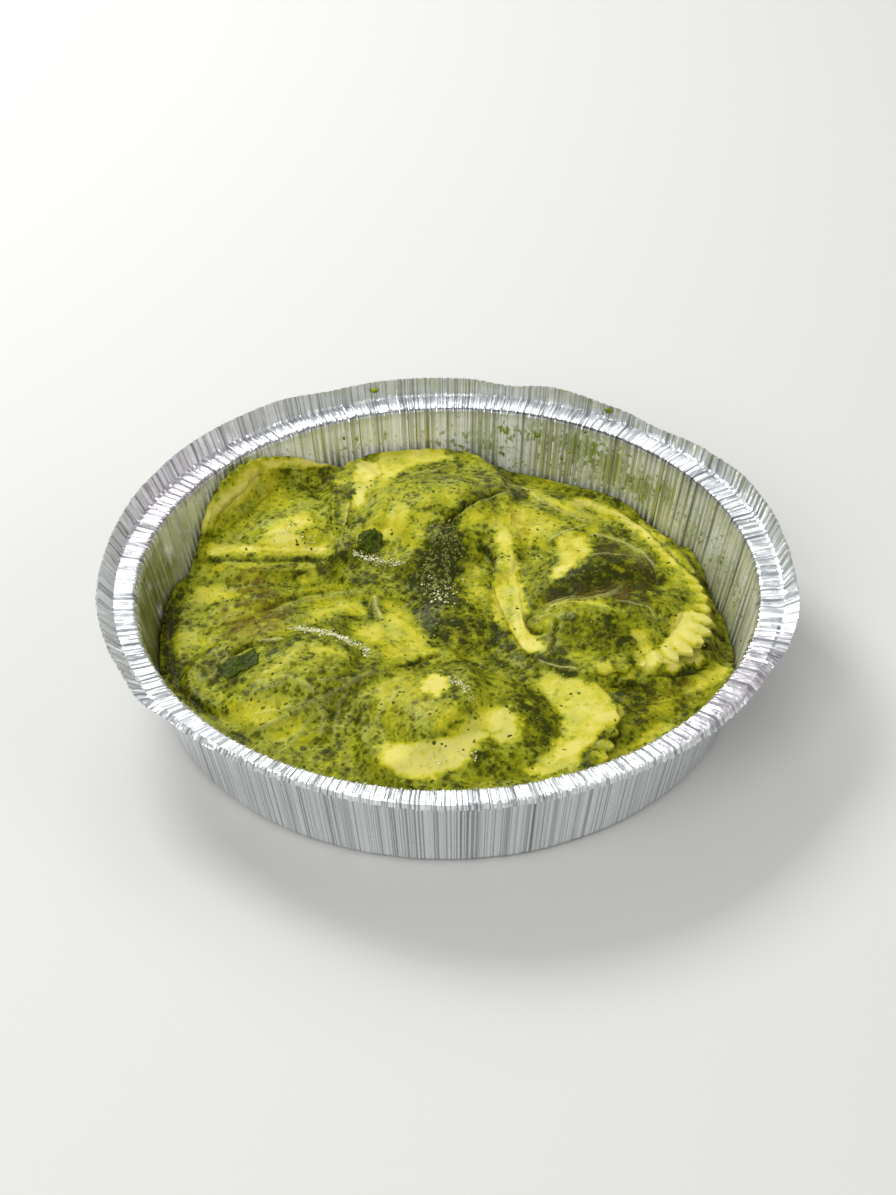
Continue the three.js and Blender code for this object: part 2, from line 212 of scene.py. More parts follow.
def rough(x, y, size, seed=0, octaves=3):
    """Noise on noise, each layer half as large and half as strong."""
    return sum(noise(x, y, size / 2**k, seed + 17 * k) / 2**k for k in range(octaves))


def ease(value):
    value = np.clip(value, 0, 1)
    return value * value * (3 - 2 * value)


def blend_max(a, b, width):
    """Smooth maximum of two heights that are closer than width."""
    near = np.maximum(width - np.abs(a - b), 0) / width
    return np.maximum(a, b) + near * near * width / 4


def make_piece(name, points, faces, marks=None):
    """A smooth mesh object from millimetres; marks are numbers kept on each point."""
    mesh = bpy.data.meshes.new(name)
    mesh.vertices.add(len(points))
    mesh.vertices.foreach_set("co", (np.asarray(points, float) * MM).ravel())
    corners = np.concatenate([np.asarray(f, np.int32).ravel() for f in faces])
    sizes = np.concatenate([np.full(len(f), len(f[0]), np.int32) for f in faces])
    starts = np.concatenate([[0], np.cumsum(sizes)[:-1]]).astype(np.int32)
    mesh.loops.add(len(corners))
    mesh.loops.foreach_set("vertex_index", corners)
    mesh.polygons.add(len(sizes))
    mesh.polygons.foreach_set("loop_start", starts)
    mesh.update(calc_edges=True)
    mesh.polygons.foreach_set("use_smooth", np.ones(len(sizes), bool))
    for mark, values in (marks or {}).items():
        layer = mesh.attributes.new(mark, "FLOAT", "POINT")
        layer.data.foreach_set("value", np.asarray(values, np.float32))
    piece = bpy.data.objects.new(name, mesh)
    bpy.context.collection.objects.link(piece)
    return piece


def sheet_mesh(name, points, quads, marks):
    """The bare mesh of a sheet that only carries marks and isn't shown."""
    sheet = make_piece(name, points, [quads], marks)
    mesh = sheet.data
    bpy.data.objects.remove(sheet)
    return mesh


def grid_quads(rows, columns):
    """Point numbers of the cells of a grid."""
    number = np.arange(rows * columns).reshape(rows, columns)
    return np.stack([number[:-1, :-1], number[1:, :-1], number[1:, 1:], number[:-1, 1:]], -1)


def ring_at(radius, angle, height):
    """Points round the axis, one for each angle."""
    radius, angle, height = np.broadcast_arrays(radius, angle, height)
    return np.stack([radius * np.cos(angle), radius * np.sin(angle), height], axis=-1)


def ring_faces(first, second, count):
    """Quads between two rings of points that start at these numbers."""
    i = np.arange(count)
    j = (i + 1) % count
    return np.stack([first + i, first + j, second + j, second + i], axis=1)


def fan_faces(ring, pole, count, flip=False):
    """Triangles from a ring to its pole."""
    i = np.arange(count)
    j = (i + 1) % count
    order = [ring + j, ring + i] if flip else [ring + i, ring + j]
    return np.stack([*order, np.full(count, pole)], axis=1)


def closed_below(rim, first, rings):
    """Faces from a rim down through rings of points to one last point."""
    count = len(rim)
    i = np.arange(count)
    j = (i + 1) % count
    faces = [np.stack([rim[j], rim[i], first + i, first + j], axis=1)]
    for k in range(rings - 1):
        faces.append(ring_faces(first + k * count, first + (k + 1) * count, count)[:, ::-1])
    faces.append(fan_faces(first + (rings - 1) * count, first + rings * count, count, flip=True))
    return faces


def stacked(first, count, rings):
    """Faces of a closed stack of rings; the last two points are its lower and upper pole."""
    faces = [ring_faces(first + k * count, first + (k + 1) * count, count)
             for k in range(rings - 1)]
    pole = first + rings * count
    faces.append(fan_faces(first, pole, count, flip=True))
    faces.append(fan_faces(pole - count, pole + 1, count))
    return faces


def ready(piece, node):
    """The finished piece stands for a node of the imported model, on the one body."""
    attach(piece, "root")
    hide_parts(node)
    mesh = piece.data
    print(f"{piece.name}: {len(mesh.vertices)} points, {len(mesh.polygons)} faces")


sample = noise(np.linspace(0, 90, 400), 0.3, 5.0)
print("noise runs from", round(float(sample.min()), 2), "to", round(float(sample.max()), 2))

# %% [markdown]
# ## The foil pan
#
# A foil pan is pressed from one flat disc. The press gathers the spare foil into hundreds
# of tiny pleats on the wall, the flange and the lip, and they are what makes foil look
# like foil. So the pan is one closed shell: a line from the middle of the base to the
# lip's edge, turned round the pan, and pushed in and out by the pleats. The lip was bent
# by hand: it stands up at the back, lies flat at the right and is rolled under in front.

# %% Foil pan, its section
PLEATS = 250
SPOKES_PER_PLEAT = 4
FOIL_HALF = 0.2
BASE_RINGS = (12, 30, 48, 64, 76, BASE_RADIUS - BASE_CORNER)
WALL_RINGS = 13
LIP_SHARES = (0.12, 0.25, 0.4, 0.55, 0.7, 0.85, 1.0)
FRONT_DENT = {"bearing": 238, "width": 22, "depth": 1.7}
# The lip: bearing, tilt above level in degrees, and reach from the flange.
LIP = np.array([
    (0, 60, 6), (12, 68, 6.6), (24, 74, 7), (36, 75, 5.5), (48, 75, 3.7), (58, 75, 4.8),
    (70, 75, 6.1), (78, 75, 4.5), (87, 76, 6.1), (100, 75, 6.5), (111, 72, 6.1),
    (122, 68, 7.6), (140, 63, 7.5), (156, 60, 6.8), (172, 58, 6.2), (190, 48, 6.3),
    (207, 44, 6), (218, -30, 1.6), (240, -75, 1.6), (272, -80, 2), (300, -78, 1.6),
    (320, -70, 2.6), (334, -40, 2.2), (342, 0, 4.2), (349, 22, 5.4), (360, 60, 6),
])


def wall_radius(z):
    """Inner radius of the pan's wall at a height."""
    return BASE_RADIUS + (FLANGE_INNER - BASE_RADIUS) * np.clip(z / FLANGE_HEIGHT, 0, 1)


def bearing_of(x, y):
    return np.degrees(np.arctan2(y, x)) % 360


def bump(bearing, at, width):
    """A soft bump round a bearing."""
    gap = (np.asarray(bearing) - at + 540) % 360 - 180
    return np.exp(-((gap / width) ** 2))


def on_inner_wall(x, y, z):
    """1 on the inner face of the wall, fading through the foil."""
    return ease((wall_radius(z) + 0.55 - np.hypot(x, y)) / 0.35)


def lip_at(bearing):
    """Tilt in radians and reach of the lip, eased from each entry to the next."""
    k = np.clip(np.searchsorted(LIP[:, 0], bearing, side="right"), 1, len(LIP) - 1)
    start, end = LIP[k - 1], LIP[k]
    share = ease((bearing - start[:, 0]) / (end[:, 0] - start[:, 0]))
    tilt, reach = (start[:, c] + (end[:, c] - start[:, c]) * share for c in (1, 2))
    return np.radians(tilt), reach


def pan_rows(bearing):
    """The middle line of the foil, row by row: r, z, depth of the pleats and a part name."""
    rows = []
    still = np.ones_like(bearing)
    for r in BASE_RINGS:
        rows.append((r * still, FOIL_HALF * still, 0.0, "base"))
    for k in range(1, 6):
        angle = k / 6 * math.pi / 2
        r = BASE_RADIUS - BASE_CORNER + (BASE_CORNER + 0.9) * math.sin(angle)
        z = FOIL_HALF + (BASE_CORNER - FOIL_HALF) * (1 - math.cos(angle))
        rows.append((r * still, z * still, 0.05 * k, "corner"))
    wall_top = FLANGE_HEIGHT - 0.9
    for share in np.linspace(0, 1, WALL_RINGS):
        z = BASE_CORNER + (wall_top - BASE_CORNER) * share
        r = wall_radius(z) + CAD_FOIL / 2
        rows.append((r * still, z * still, 0.34 + 0.1 * share, "wall"))
    top = FLANGE_HEIGHT + CAD_FOIL / 2
    rows.append(((FLANGE_INNER + 0.55) * still, (top - 0.35) * still, 0.3, "brim"))
    outer = FLANGE_INNER + FLANGE_WIDTH
    outer = outer - FRONT_DENT["depth"] * bump(bearing, FRONT_DENT["bearing"], FRONT_DENT["width"])
    for share in np.linspace(0.18, 0.94, 7):
        slope = 0.5 * (share - 0.5)
        r = FLANGE_INNER + share * (outer - FLANGE_INNER)
        rows.append((r, (top + slope) * still, 0.36, "flange"))
    tilt, reach = lip_at(bearing)
    for share in LIP_SHARES:
        along = share * reach
        r = outer + along * np.cos(tilt)
        rows.append((r, top + along * np.sin(tilt), 0.42 + 0.1 * share, "lip"))
    return rows


# %% [markdown]
# The pleats are a saw of sharp ridges. Real ones are not evenly spaced, some are deep and
# some are pressed flat, so noise shifts the saw along the bearing and scales its height.
# The outside of the wall was pressed against the die, which leaves it smoother.

# %% Foil pan, its shell


def pleat_saw(bearing, height):
    """Height of the pleats from -1 to 1: wide flat facets with a narrow fold between."""
    way = np.radians(bearing)
    cx, cy = 90 * np.cos(way), 90 * np.sin(way)
    crest = np.array([0.5, 0.8, -1.0, -0.9])
    saw = crest[np.arange(len(bearing)) % SPOKES_PER_PLEAT]
    strength = 0.8 + 0.7 * noise(cx, cy, 2.2, 4) + 0.35 * noise(cx, cy + 0.35 * height, 4.0, 6)
    tilt = 0.5 * noise(7.3 * bearing, 0 * bearing, 2.0, 7)
    return (saw + tilt) * np.clip(strength, 0.12, 1.7)


def spoke_bearings():
    """Bearings of the spokes: both ends of each facet and of each fold, a little uneven."""
    pleat = np.arange(PLEATS)[:, None]
    inside = np.array([0.0, 0.6, 0.74, 0.88])[None, :]
    bearing = ((pleat + inside) * 360 / PLEATS).ravel()
    way = np.radians(bearing)
    uneven = noise(90 * np.cos(way), 90 * np.sin(way), 4.0, 3)
    return bearing + 0.5 * uneven * 360 / PLEATS


def build_pan():
    spokes = PLEATS * SPOKES_PER_PLEAT
    bearing = spoke_bearings()
    way = np.radians(bearing)
    cx, cy = 90 * np.cos(way), 90 * np.sin(way)
    rows = pan_rows(bearing)
    line = np.array([np.stack([r, z]) for r, z, _, _ in rows])
    along = np.gradient(line, axis=0)
    along /= np.linalg.norm(along, axis=1, keepdims=True)
    # The foil's outward side: a quarter turn clockwise from the way along the section.
    normal = np.stack([along[:, 1], -along[:, 0]], axis=1)
    rings = {"outer": [], "inner": []}
    for k, (r, z, depth, part) in enumerate(rows):
        dents = 0.0 if part == "base" else 0.25 * noise(cx, cy + k, 14.0, 5)
        wobble = 0.14 * noise(cx, cy + 1.2 * k, 5.0, 8) if part in ("lip", "flange") else 0.0
        pressed = 0.4 if part in ("wall", "corner") else 1.0
        saw = pleat_saw(bearing, k)
        for side, sign, keep in (("outer", 1, pressed), ("inner", -1, 1.0)):
            off = sign * FOIL_HALF + depth * keep * saw + dents + wobble
            rr, zz = r + normal[k, 0] * off, z + normal[k, 1] * off
            if part == "base":
                rr, zz = r, z + normal[k, 1] * sign * FOIL_HALF
            rings[side].append(ring_at(rr, way, np.maximum(zz, 0)))
    stack = rings["outer"] + rings["inner"][::-1]
    points = np.concatenate(stack + [[[0, 0, 0]], [[0, 0, 2 * FOIL_HALF]]])
    return points, stacked(0, spokes, len(stack)), len(rows), spokes


pan_points, pan_faces, pan_row_count, pan_spokes = build_pan()
print("pan rows", pan_row_count, "spokes", pan_spokes)

# %% [markdown]
# Oil and pesto crept up the inside of the wall and dried to an olive film, most of it at
# the left and right, where the food leaned on the foil. The same olive mark also paints the
# food's reflection in the wall, low down and at the sides, and painted shade deepens it at
# the left. The mark is a number on every point of the mesh, and the foil's material turns
# it into colour. The other numbers are the splashes on the wall, the purple tint on the
# flange, the inner face, where the foil is dull, and the painted shade of the seam where
# wall and flange meet.

# %% Foil pan, its marks
# Splashes of pesto: bearing, height, half width in degrees, half height, strength.
SPLASHES = [
    (62, 27, 5, 4, 1.0), (54, 24, 4, 6, 0.9), (70, 28, 4, 3, 0.7), (47, 22, 5, 4, 0.8),
    (40, 25, 3, 3, 0.6), (78, 27, 4, 3, 0.4), (30, 20, 8, 5, 0.25), (84, 22, 10, 4, 0.3),
    (58, 20, 16, 5, 0.35), (108, 26, 10, 4, 0.15), (10, 18, 14, 6, 0.2),
]


def pan_film_and_reflection(points):
    """How much olive the foil carries, from 0 to 1: oily film, painted reflection and painted shade."""
    x, y, z = points.T
    bearing = bearing_of(x, y)
    inside = on_inner_wall(x, y, z) * ease((FLANGE_HEIGHT - 0.5 - z) / 2)
    # Strongest at the left, where the olive is also painted shade and the food's painted reflection.
    sides = 1.4 * bump(bearing, 192, 36) + 0.35 * bump(bearing, 4, 30)
    sides = np.clip(sides + 0.3 * bump(bearing, 140, 20) + 0.12 * bump(bearing, 45, 22), 0, 1)
    streaks = 0.25 * noise(bearing * 1.6, z, 9.0, 22)
    # Low on the wall, next to the food, a little more olive is the food's painted reflection.
    low = np.clip((25 - z) / 12, 0, 1) * 0.2
    return np.clip(inside * np.clip(sides * 0.85 + low + streaks, 0, 1), 0, 1)


def splash_at(bearing, z):
    """Strength of the splashes at a bearing and a height."""
    wet_and_shade = np.zeros_like(z)
    for at, height, width, tall, strength in SPLASHES:
        spot = strength * bump(bearing, at, width) * np.exp(-(((z - height) / tall) ** 2))
        wet_and_shade = np.maximum(wet_and_shade, spot)
    return wet_and_shade


def pan_splash(points):
    """Where pesto spattered the wall, from 0 to 1."""
    x, y, z = points.T
    return on_inner_wall(x, y, z) * splash_at(bearing_of(x, y), z)


def pan_purple_tint(points):
    """The purple tint on the flange and lip, from 0 to 1."""
    x, y, z = points.T
    bearing = bearing_of(x, y)
    where = 0.8 * bump(bearing, 150, 22) + 0.9 * bump(bearing, 326, 16)
    on_rim = ease((z - FLANGE_HEIGHT + 1.5) / 1.0)
    return np.clip(where * on_rim * (0.6 + 0.5 * noise(x, y, 5.0, 31)), 0, 1)


def pan_inside(points):
    """1 on the inner face of the wall, where the foil is finely crushed and duller."""
    x, y, z = points.T
    facing = ease((wall_radius(z) + 0.5 - np.hypot(x, y)) / 0.4)
    lip = 0.2 * ease((z - FLANGE_HEIGHT - 1.5) / 1.5)
    return facing * ease((FLANGE_HEIGHT - 0.3 - z) / 1.2) + lip


def pan_seam_shade(points):
    """Painted shade along the sharp fold between wall and flange, where the foil turns over."""
    x, y, z = points.T
    bearing = bearing_of(x, y)
    near_fold = np.exp(-(((np.hypot(x, y) - FLANGE_INNER - 0.5) / 0.35) ** 2))
    near_fold *= ease((z - FLANGE_HEIGHT + 1.2) / 0.6)
    return near_fold * np.clip(bump(bearing, 60, 50) + 0.5 * bump(bearing, 150, 40), 0, 1)


pan_marks = {
    "film_and_reflection": pan_film_and_reflection(pan_points), "purple_tint": pan_purple_tint(pan_points),
    "inside": pan_inside(pan_points), "seam_shade": pan_seam_shade(pan_points),
    "splash": pan_splash(pan_points),
}
# The rings of the outer face come first, and they carry no pesto.
inner_face = np.arange(len(pan_points)) >= pan_row_count * pan_spokes
for mark in ("film_and_reflection", "inside", "splash"):
    pan_marks[mark] = pan_marks[mark] * inner_face
foil_pan = make_piece("foil_pan_visual", pan_points, pan_faces, pan_marks)
foil_pan.data.polygons.foreach_set("use_smooth", np.zeros(len(foil_pan.data.polygons), bool))
ready(foil_pan, "foil_pan")

# %% [markdown]
# ## The ravioli
#
# A raviolo is two sheets of dough with a spoon of filling between them, pressed round the
# filling and cut with a fluted wheel. Cooked, it is limp: it takes the shape of what lies
# under it. So each one is a flat sheet that drapes over those below, bends up where it
# meets the wall, and swells over its filling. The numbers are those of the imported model.

# %% Ravioli, where each one lies
RAVIOLI = {
    "raviolo_left": dict(
        x=-51, y=2, a=35, b=38, turn=6, level=12.5, slope=(-0.03, 0), power=3.2,
        mound=(0, 0, 25, 27, 5, 3), under=[], creases=[(-20, 6, 22, 14, 4, 1.6)]),
    "raviolo_front_right": dict(
        x=51, y=-40, a=38, b=30, turn=48, level=13, slope=(0.04, 0), power=3.2,
        mound=(0, 4, 26, 18, 4, 3), under=[], creases=[]),
    "raviolo_back_right": dict(
        x=26, y=51, a=36, b=31, turn=-22, level=13.5, slope=(-0.05, -0.02), power=3.2,
        mound=(-2, 2, 26, 22, 7, 3), under=[], creases=[(-20, 12, 24, 8, 3, 1.2)]),
    "raviolo_back_left": dict(
        x=-51, y=55, a=31, b=28, turn=12, level=16.5, slope=(0, 0), power=2.15,
        mound=(2, -4, 20, 18, 5.5, 2), under=["raviolo_left"],
        creases=[(-22, -4, 2, 16, 4, 2.4)]),
    "raviolo_front_left": dict(
        x=-36, y=-34, a=38, b=37, turn=24, level=17, slope=(0.02, 0.02), power=3.2,
        mound=(1, 5, 30, 25, 6.5, 2), under=["raviolo_left"],
        creases=[(-30, -12, 26, -8, 3, 2.6), (-12, -24, 16, 6, 3, 1.6)]),
    "raviolo_back_centre": dict(
        x=-8, y=50, a=28, b=37, turn=4, level=19.5, slope=(0, 0.05), power=3.2,
        mound=(2, -4, 22, 27, 8, 1.5), under=["raviolo_back_left", "raviolo_back_right"],
        creases=[(-20, -20, 16, -8, 5, 2.2)]),
    "raviolo_front": dict(
        x=12, y=-50, a=36, b=32, turn=-22, level=17.5, slope=(-0.02, -0.02), power=2.8,
        mound=(-6, -1, 26, 24, 8, 2), under=["raviolo_front_left", "raviolo_front_right"],
        creases=[(-20, 4, 2, 2, 5, 1.2)]),
    "raviolo_right": dict(
        x=47, y=9, a=31, b=37, turn=14, level=21, slope=(0, 0.02), power=2.8,
        mound=(0, -3, 24, 26, 8.5, 1.5),
        under=["raviolo_front_right", "raviolo_back_right", "raviolo_back_centre"],
        creases=[(-22, -4, 22, -2, 4.5, 4.5)]),
}
# Where the fluted cut still shows: own angle in degrees, width and strength.
# Elsewhere pesto fills the flutes, or the edge lies flat on the next raviolo.
CRISP = {
    "raviolo_right": [(-58, 44, 2.0)],
    "raviolo_front": [(14, 30, 0.9)],
    "raviolo_back_centre": [(150, 40, 0.4)],
    "raviolo_back_left": [(130, 60, 0.45)],
    "raviolo_front_right": [(-60, 50, 0.5)],
}
SOFT_FLUTES = 0.16
ORDER = list(RAVIOLI)
DRAPE_BLEND = 7.0
EDGE_FADE = 0.3
MOUND_POWER = 0.8
PERIMETER_SHARE = 3.4
WALL_CLEARANCE = DOUGH_HALF + 0.45 + GAP
WALL_RISE = 0.96
WALL_BLEND = 3.0


def own_axes(piece, x, y):
    turn = math.radians(piece["turn"])
    dx, dy = x - piece["x"], y - piece["y"]
    return dx * math.cos(turn) + dy * math.sin(turn), dy * math.cos(turn) - dx * math.sin(turn)


def outline_radius(piece, angle):
    """Distance from the centre to the outline, a rounded square."""
    power = piece["power"]
    along = np.abs(np.cos(angle) / piece["a"]) ** power
    across = np.abs(np.sin(angle) / piece["b"]) ** power
    return (along + across) ** (-1 / power)


def mound_share(piece, s, t):
    """Height of the pillow as a share of its full height."""
    ms, mt, ma, mb, _, _ = piece["mound"]
    d = np.hypot((s - ms) / ma, (t - mt) / mb)
    return np.clip(1 - d * d, 0, 1) ** MOUND_POWER


def crease_depth(piece, s, t):
    depth = np.zeros_like(s)
    for s0, t0, s1, t1, width, full in piece["creases"]:
        ds, dt = s1 - s0, t1 - t0
        share = np.clip(((s - s0) * ds + (t - t0) * dt) / (ds * ds + dt * dt), 0, 1)
        away = np.hypot(s - s0 - ds * share, t - t0 - dt * share)
        depth += full * np.exp(-((away / width) ** 2))
    return depth


def top_thickness(piece, s, t):
    share = mound_share(piece, s, t)
    rise = piece["mound"][4]
    return DOUGH_HALF + rise * share - crease_depth(piece, s, t) * np.minimum(1, share * 2)


def under_thickness(piece, s, t):
    return DOUGH_HALF + piece["mound"][5] * mound_share(piece, s, t)


def sheet_height(piece, x, y):
    """Height of the middle of the sheet: its own slope, lifted over what lies below."""
    s, t = own_axes(piece, x, y)
    z = piece["level"] + piece["slope"][0] * (x - piece["x"]) + piece["slope"][1] * (y - piece["y"])
    for name in piece["under"]:
        below = top_height(RAVIOLI[name], x, y) + GAP + under_thickness(piece, s, t)
        z = blend_max(z, below, DRAPE_BLEND)
    return z


def top_height(piece, x, y):
    s, t = own_axes(piece, x, y)
    outside = np.hypot(s, t) / outline_radius(piece, np.arctan2(t, s)) - 1.02
    fade = 1 - ease(outside / EDGE_FADE)
    return (sheet_height(piece, x, y) + top_thickness(piece, s, t)) * fade


def sheet_point(piece, s, t):
    """A place on the sheet. Where it would pass the wall, it bends up along it."""
    turn = math.radians(piece["turn"])
    x = piece["x"] + s * math.cos(turn) - t * math.sin(turn)
    y = piece["y"] + s * math.sin(turn) + t * math.cos(turn)
    z = sheet_height(piece, x, y)
    r = np.hypot(x, y)
    past = blend_max(r - (wall_radius(z) - WALL_CLEARANCE), 0, WALL_BLEND)
    lifted = z + WALL_RISE * past
    kept = np.minimum(r, wall_radius(lifted) - WALL_CLEARANCE)
    return np.stack([x * kept / r, y * kept / r, lifted], axis=-1)


def sheet_normal(piece, s, t):
    step = 0.5
    east = sheet_point(piece, s + step, t) - sheet_point(piece, s - step, t)
    north = sheet_point(piece, s, t + step) - sheet_point(piece, s, t - step)
    normal = np.cross(east, north)
    return normal / np.linalg.norm(normal, axis=-1, keepdims=True)


print("ravioli, from the bottom up:", ", ".join(ORDER))

# %% [markdown]
# ### A plan to draw on
#
# Pesto slides off the tops of the pillows and gathers in the valleys. Where it is thick,
# thin or gone was read from the photograph, laid flat on a level plane through the middle
# of the food. The first function below carries any point of the food to that plan, along
# the line of sight of the camera's fixed place, so that a mark sits right on a high pillow
# and a low border alike. The second draws soft ellipses, for edges that stay clear.

# %% Plan and soft ellipses
PLAN_HEIGHT = 22.0


def on_plan(points):
    """Where points are seen against the level plane at PLAN_HEIGHT."""
    ray = points - CAMERA_PLACE
    scale = (PLAN_HEIGHT - CAMERA_PLACE[2]) / ray[..., 2]
    return CAMERA_PLACE[0] + ray[..., 0] * scale, CAMERA_PLACE[1] + ray[..., 1] * scale


def spots(px, py, places, softness=0.35):
    """Soft ellipses: x, y, two radii, turn in degrees and strength."""
    total = np.zeros_like(px)
    for x, y, a, b, turn, strength in places:
        way = math.radians(turn)
        dx, dy = px - x, py - y
        u = (dx * math.cos(way) + dy * math.sin(way)) / a
        v = (dy * math.cos(way) - dx * math.sin(way)) / b
        d = np.hypot(u, v)
        total = np.maximum(total, strength * (1 - ease((d - 1 + softness) / (2 * softness))))
    return total


print("plan at", PLAN_HEIGHT, "mm")

# %% [markdown]
# ### Drawing on the food
#
# A patch is an outline with a soft edge, a stroke is a soft line along a path, and a veil
# is a bundle of fine wrinkles beside a path, as the skin of cooked dough makes where it
# shrinks. All three are drawn on the plan and work on the points of a mesh at once.

# %% Patches, strokes and veils


def close_to(px, py, path, reach):
    """Which points lie within reach of the box round a path."""
    low, high = np.min(path, axis=0) - reach, np.max(path, axis=0) + reach
    return (px > low[0]) & (px < high[0]) & (py > low[1]) & (py < high[1])


def rounded(path, steps=4):
    """A smooth curve through every point of a path."""
    p = np.array(path, float)
    ends = np.concatenate([[2 * p[0] - p[1]], p, [2 * p[-1] - p[-2]]])
    curve = []
    for a, b, c, d in zip(ends, ends[1:], ends[2:], ends[3:]):
        for u in np.arange(steps) / steps:
            bend = (2 * a - 5 * b + 4 * c - d) * u**2 + (3 * b - a - 3 * c + d) * u**3
            curve.append(b + 0.5 * ((c - a) * u + bend))
    return np.array(curve + [p[-1]])


def beside(px, py, path):
    """Signed distance from the curve through a path, and the share of the way along it."""
    curve = rounded(path)
    away, across, share = np.full(px.shape, 1e6), np.zeros(px.shape), np.zeros(px.shape)
    gone = 0.0
    for (x0, y0), (x1, y1) in zip(curve, curve[1:]):
        length = math.hypot(x1 - x0, y1 - y0)
        dx, dy = (x1 - x0) / length, (y1 - y0) / length
        u = np.clip((px - x0) * dx + (py - y0) * dy, 0, length)
        ox, oy = px - x0 - u * dx, py - y0 - u * dy
        distance = np.hypot(ox, oy)
        closer = distance < away
        away = np.where(closer, distance, away)
        across = np.where(closer, distance * np.sign(oy * dx - ox * dy), across)
        share = np.where(closer, gone + u, share)
        gone += length
    return across, share / gone


def stroke(px, py, path, half):
    """1 on a path, fading over its half width and towards both ends."""
    drawn = np.zeros(px.shape)
    here = close_to(px, py, path, 2.6 * half)
    across, share = beside(px[here], py[here], path)
    drawn[here] = np.exp(-((across / half) ** 2)) * ease(6 * share) * ease(6 - 6 * share)
    return drawn


def patch(px, py, outline, soft):
    """1 inside an outline and 0 outside, eased over the soft edge."""
    drawn = np.zeros(px.shape)
    here = close_to(px, py, outline, soft)
    x, y = px[here], py[here]
    away, inside = np.full(x.shape, 1e6), np.zeros(x.shape, bool)
    for (x0, y0), (x1, y1) in zip(outline, outline[1:] + outline[:1]):
        dx, dy = x1 - x0, y1 - y0
        u = np.clip(((x - x0) * dx + (y - y0) * dy) / (dx * dx + dy * dy), 0, 1)
        away = np.minimum(away, np.hypot(x - x0 - u * dx, y - y0 - u * dy))
        if dy:
            inside ^= ((y0 > y) != (y1 > y)) & (x < x0 + (y - y0) * dx / dy)
    drawn[here] = ease(0.5 + 0.5 * np.where(inside, away, -away) / soft)
    return drawn


def veil(px, py, path, half, pitch, seed):
    """Fine wrinkles beside a path, broken here and there."""
    drawn = np.zeros(px.shape)
    here = close_to(px, py, path, 2.4 * half)
    x, y = px[here], py[here]
    across, share = beside(x, y, path)
    way = across / pitch + 0.7 * noise(x, y, 6.0, seed) + 0.2 * noise(x, y, 2.5, seed + 1)
    line = (0.5 + 0.5 * np.cos(TURN * way)) ** 2.5
    broken = np.clip(0.5 + 1.3 * noise(x, y, 5.0, seed + 2), 0, 1)
    window = np.exp(-((across / half) ** 2)) * ease(5 * share) * ease(5 - 5 * share)
    drawn[here] = window * line * broken
    return drawn


middle = stroke(np.array([5.0]), np.array([0.0]), [(0, 0), (10, 0)], 1.0)
print("a stroke at the middle of its path:", round(float(middle[0]), 2))
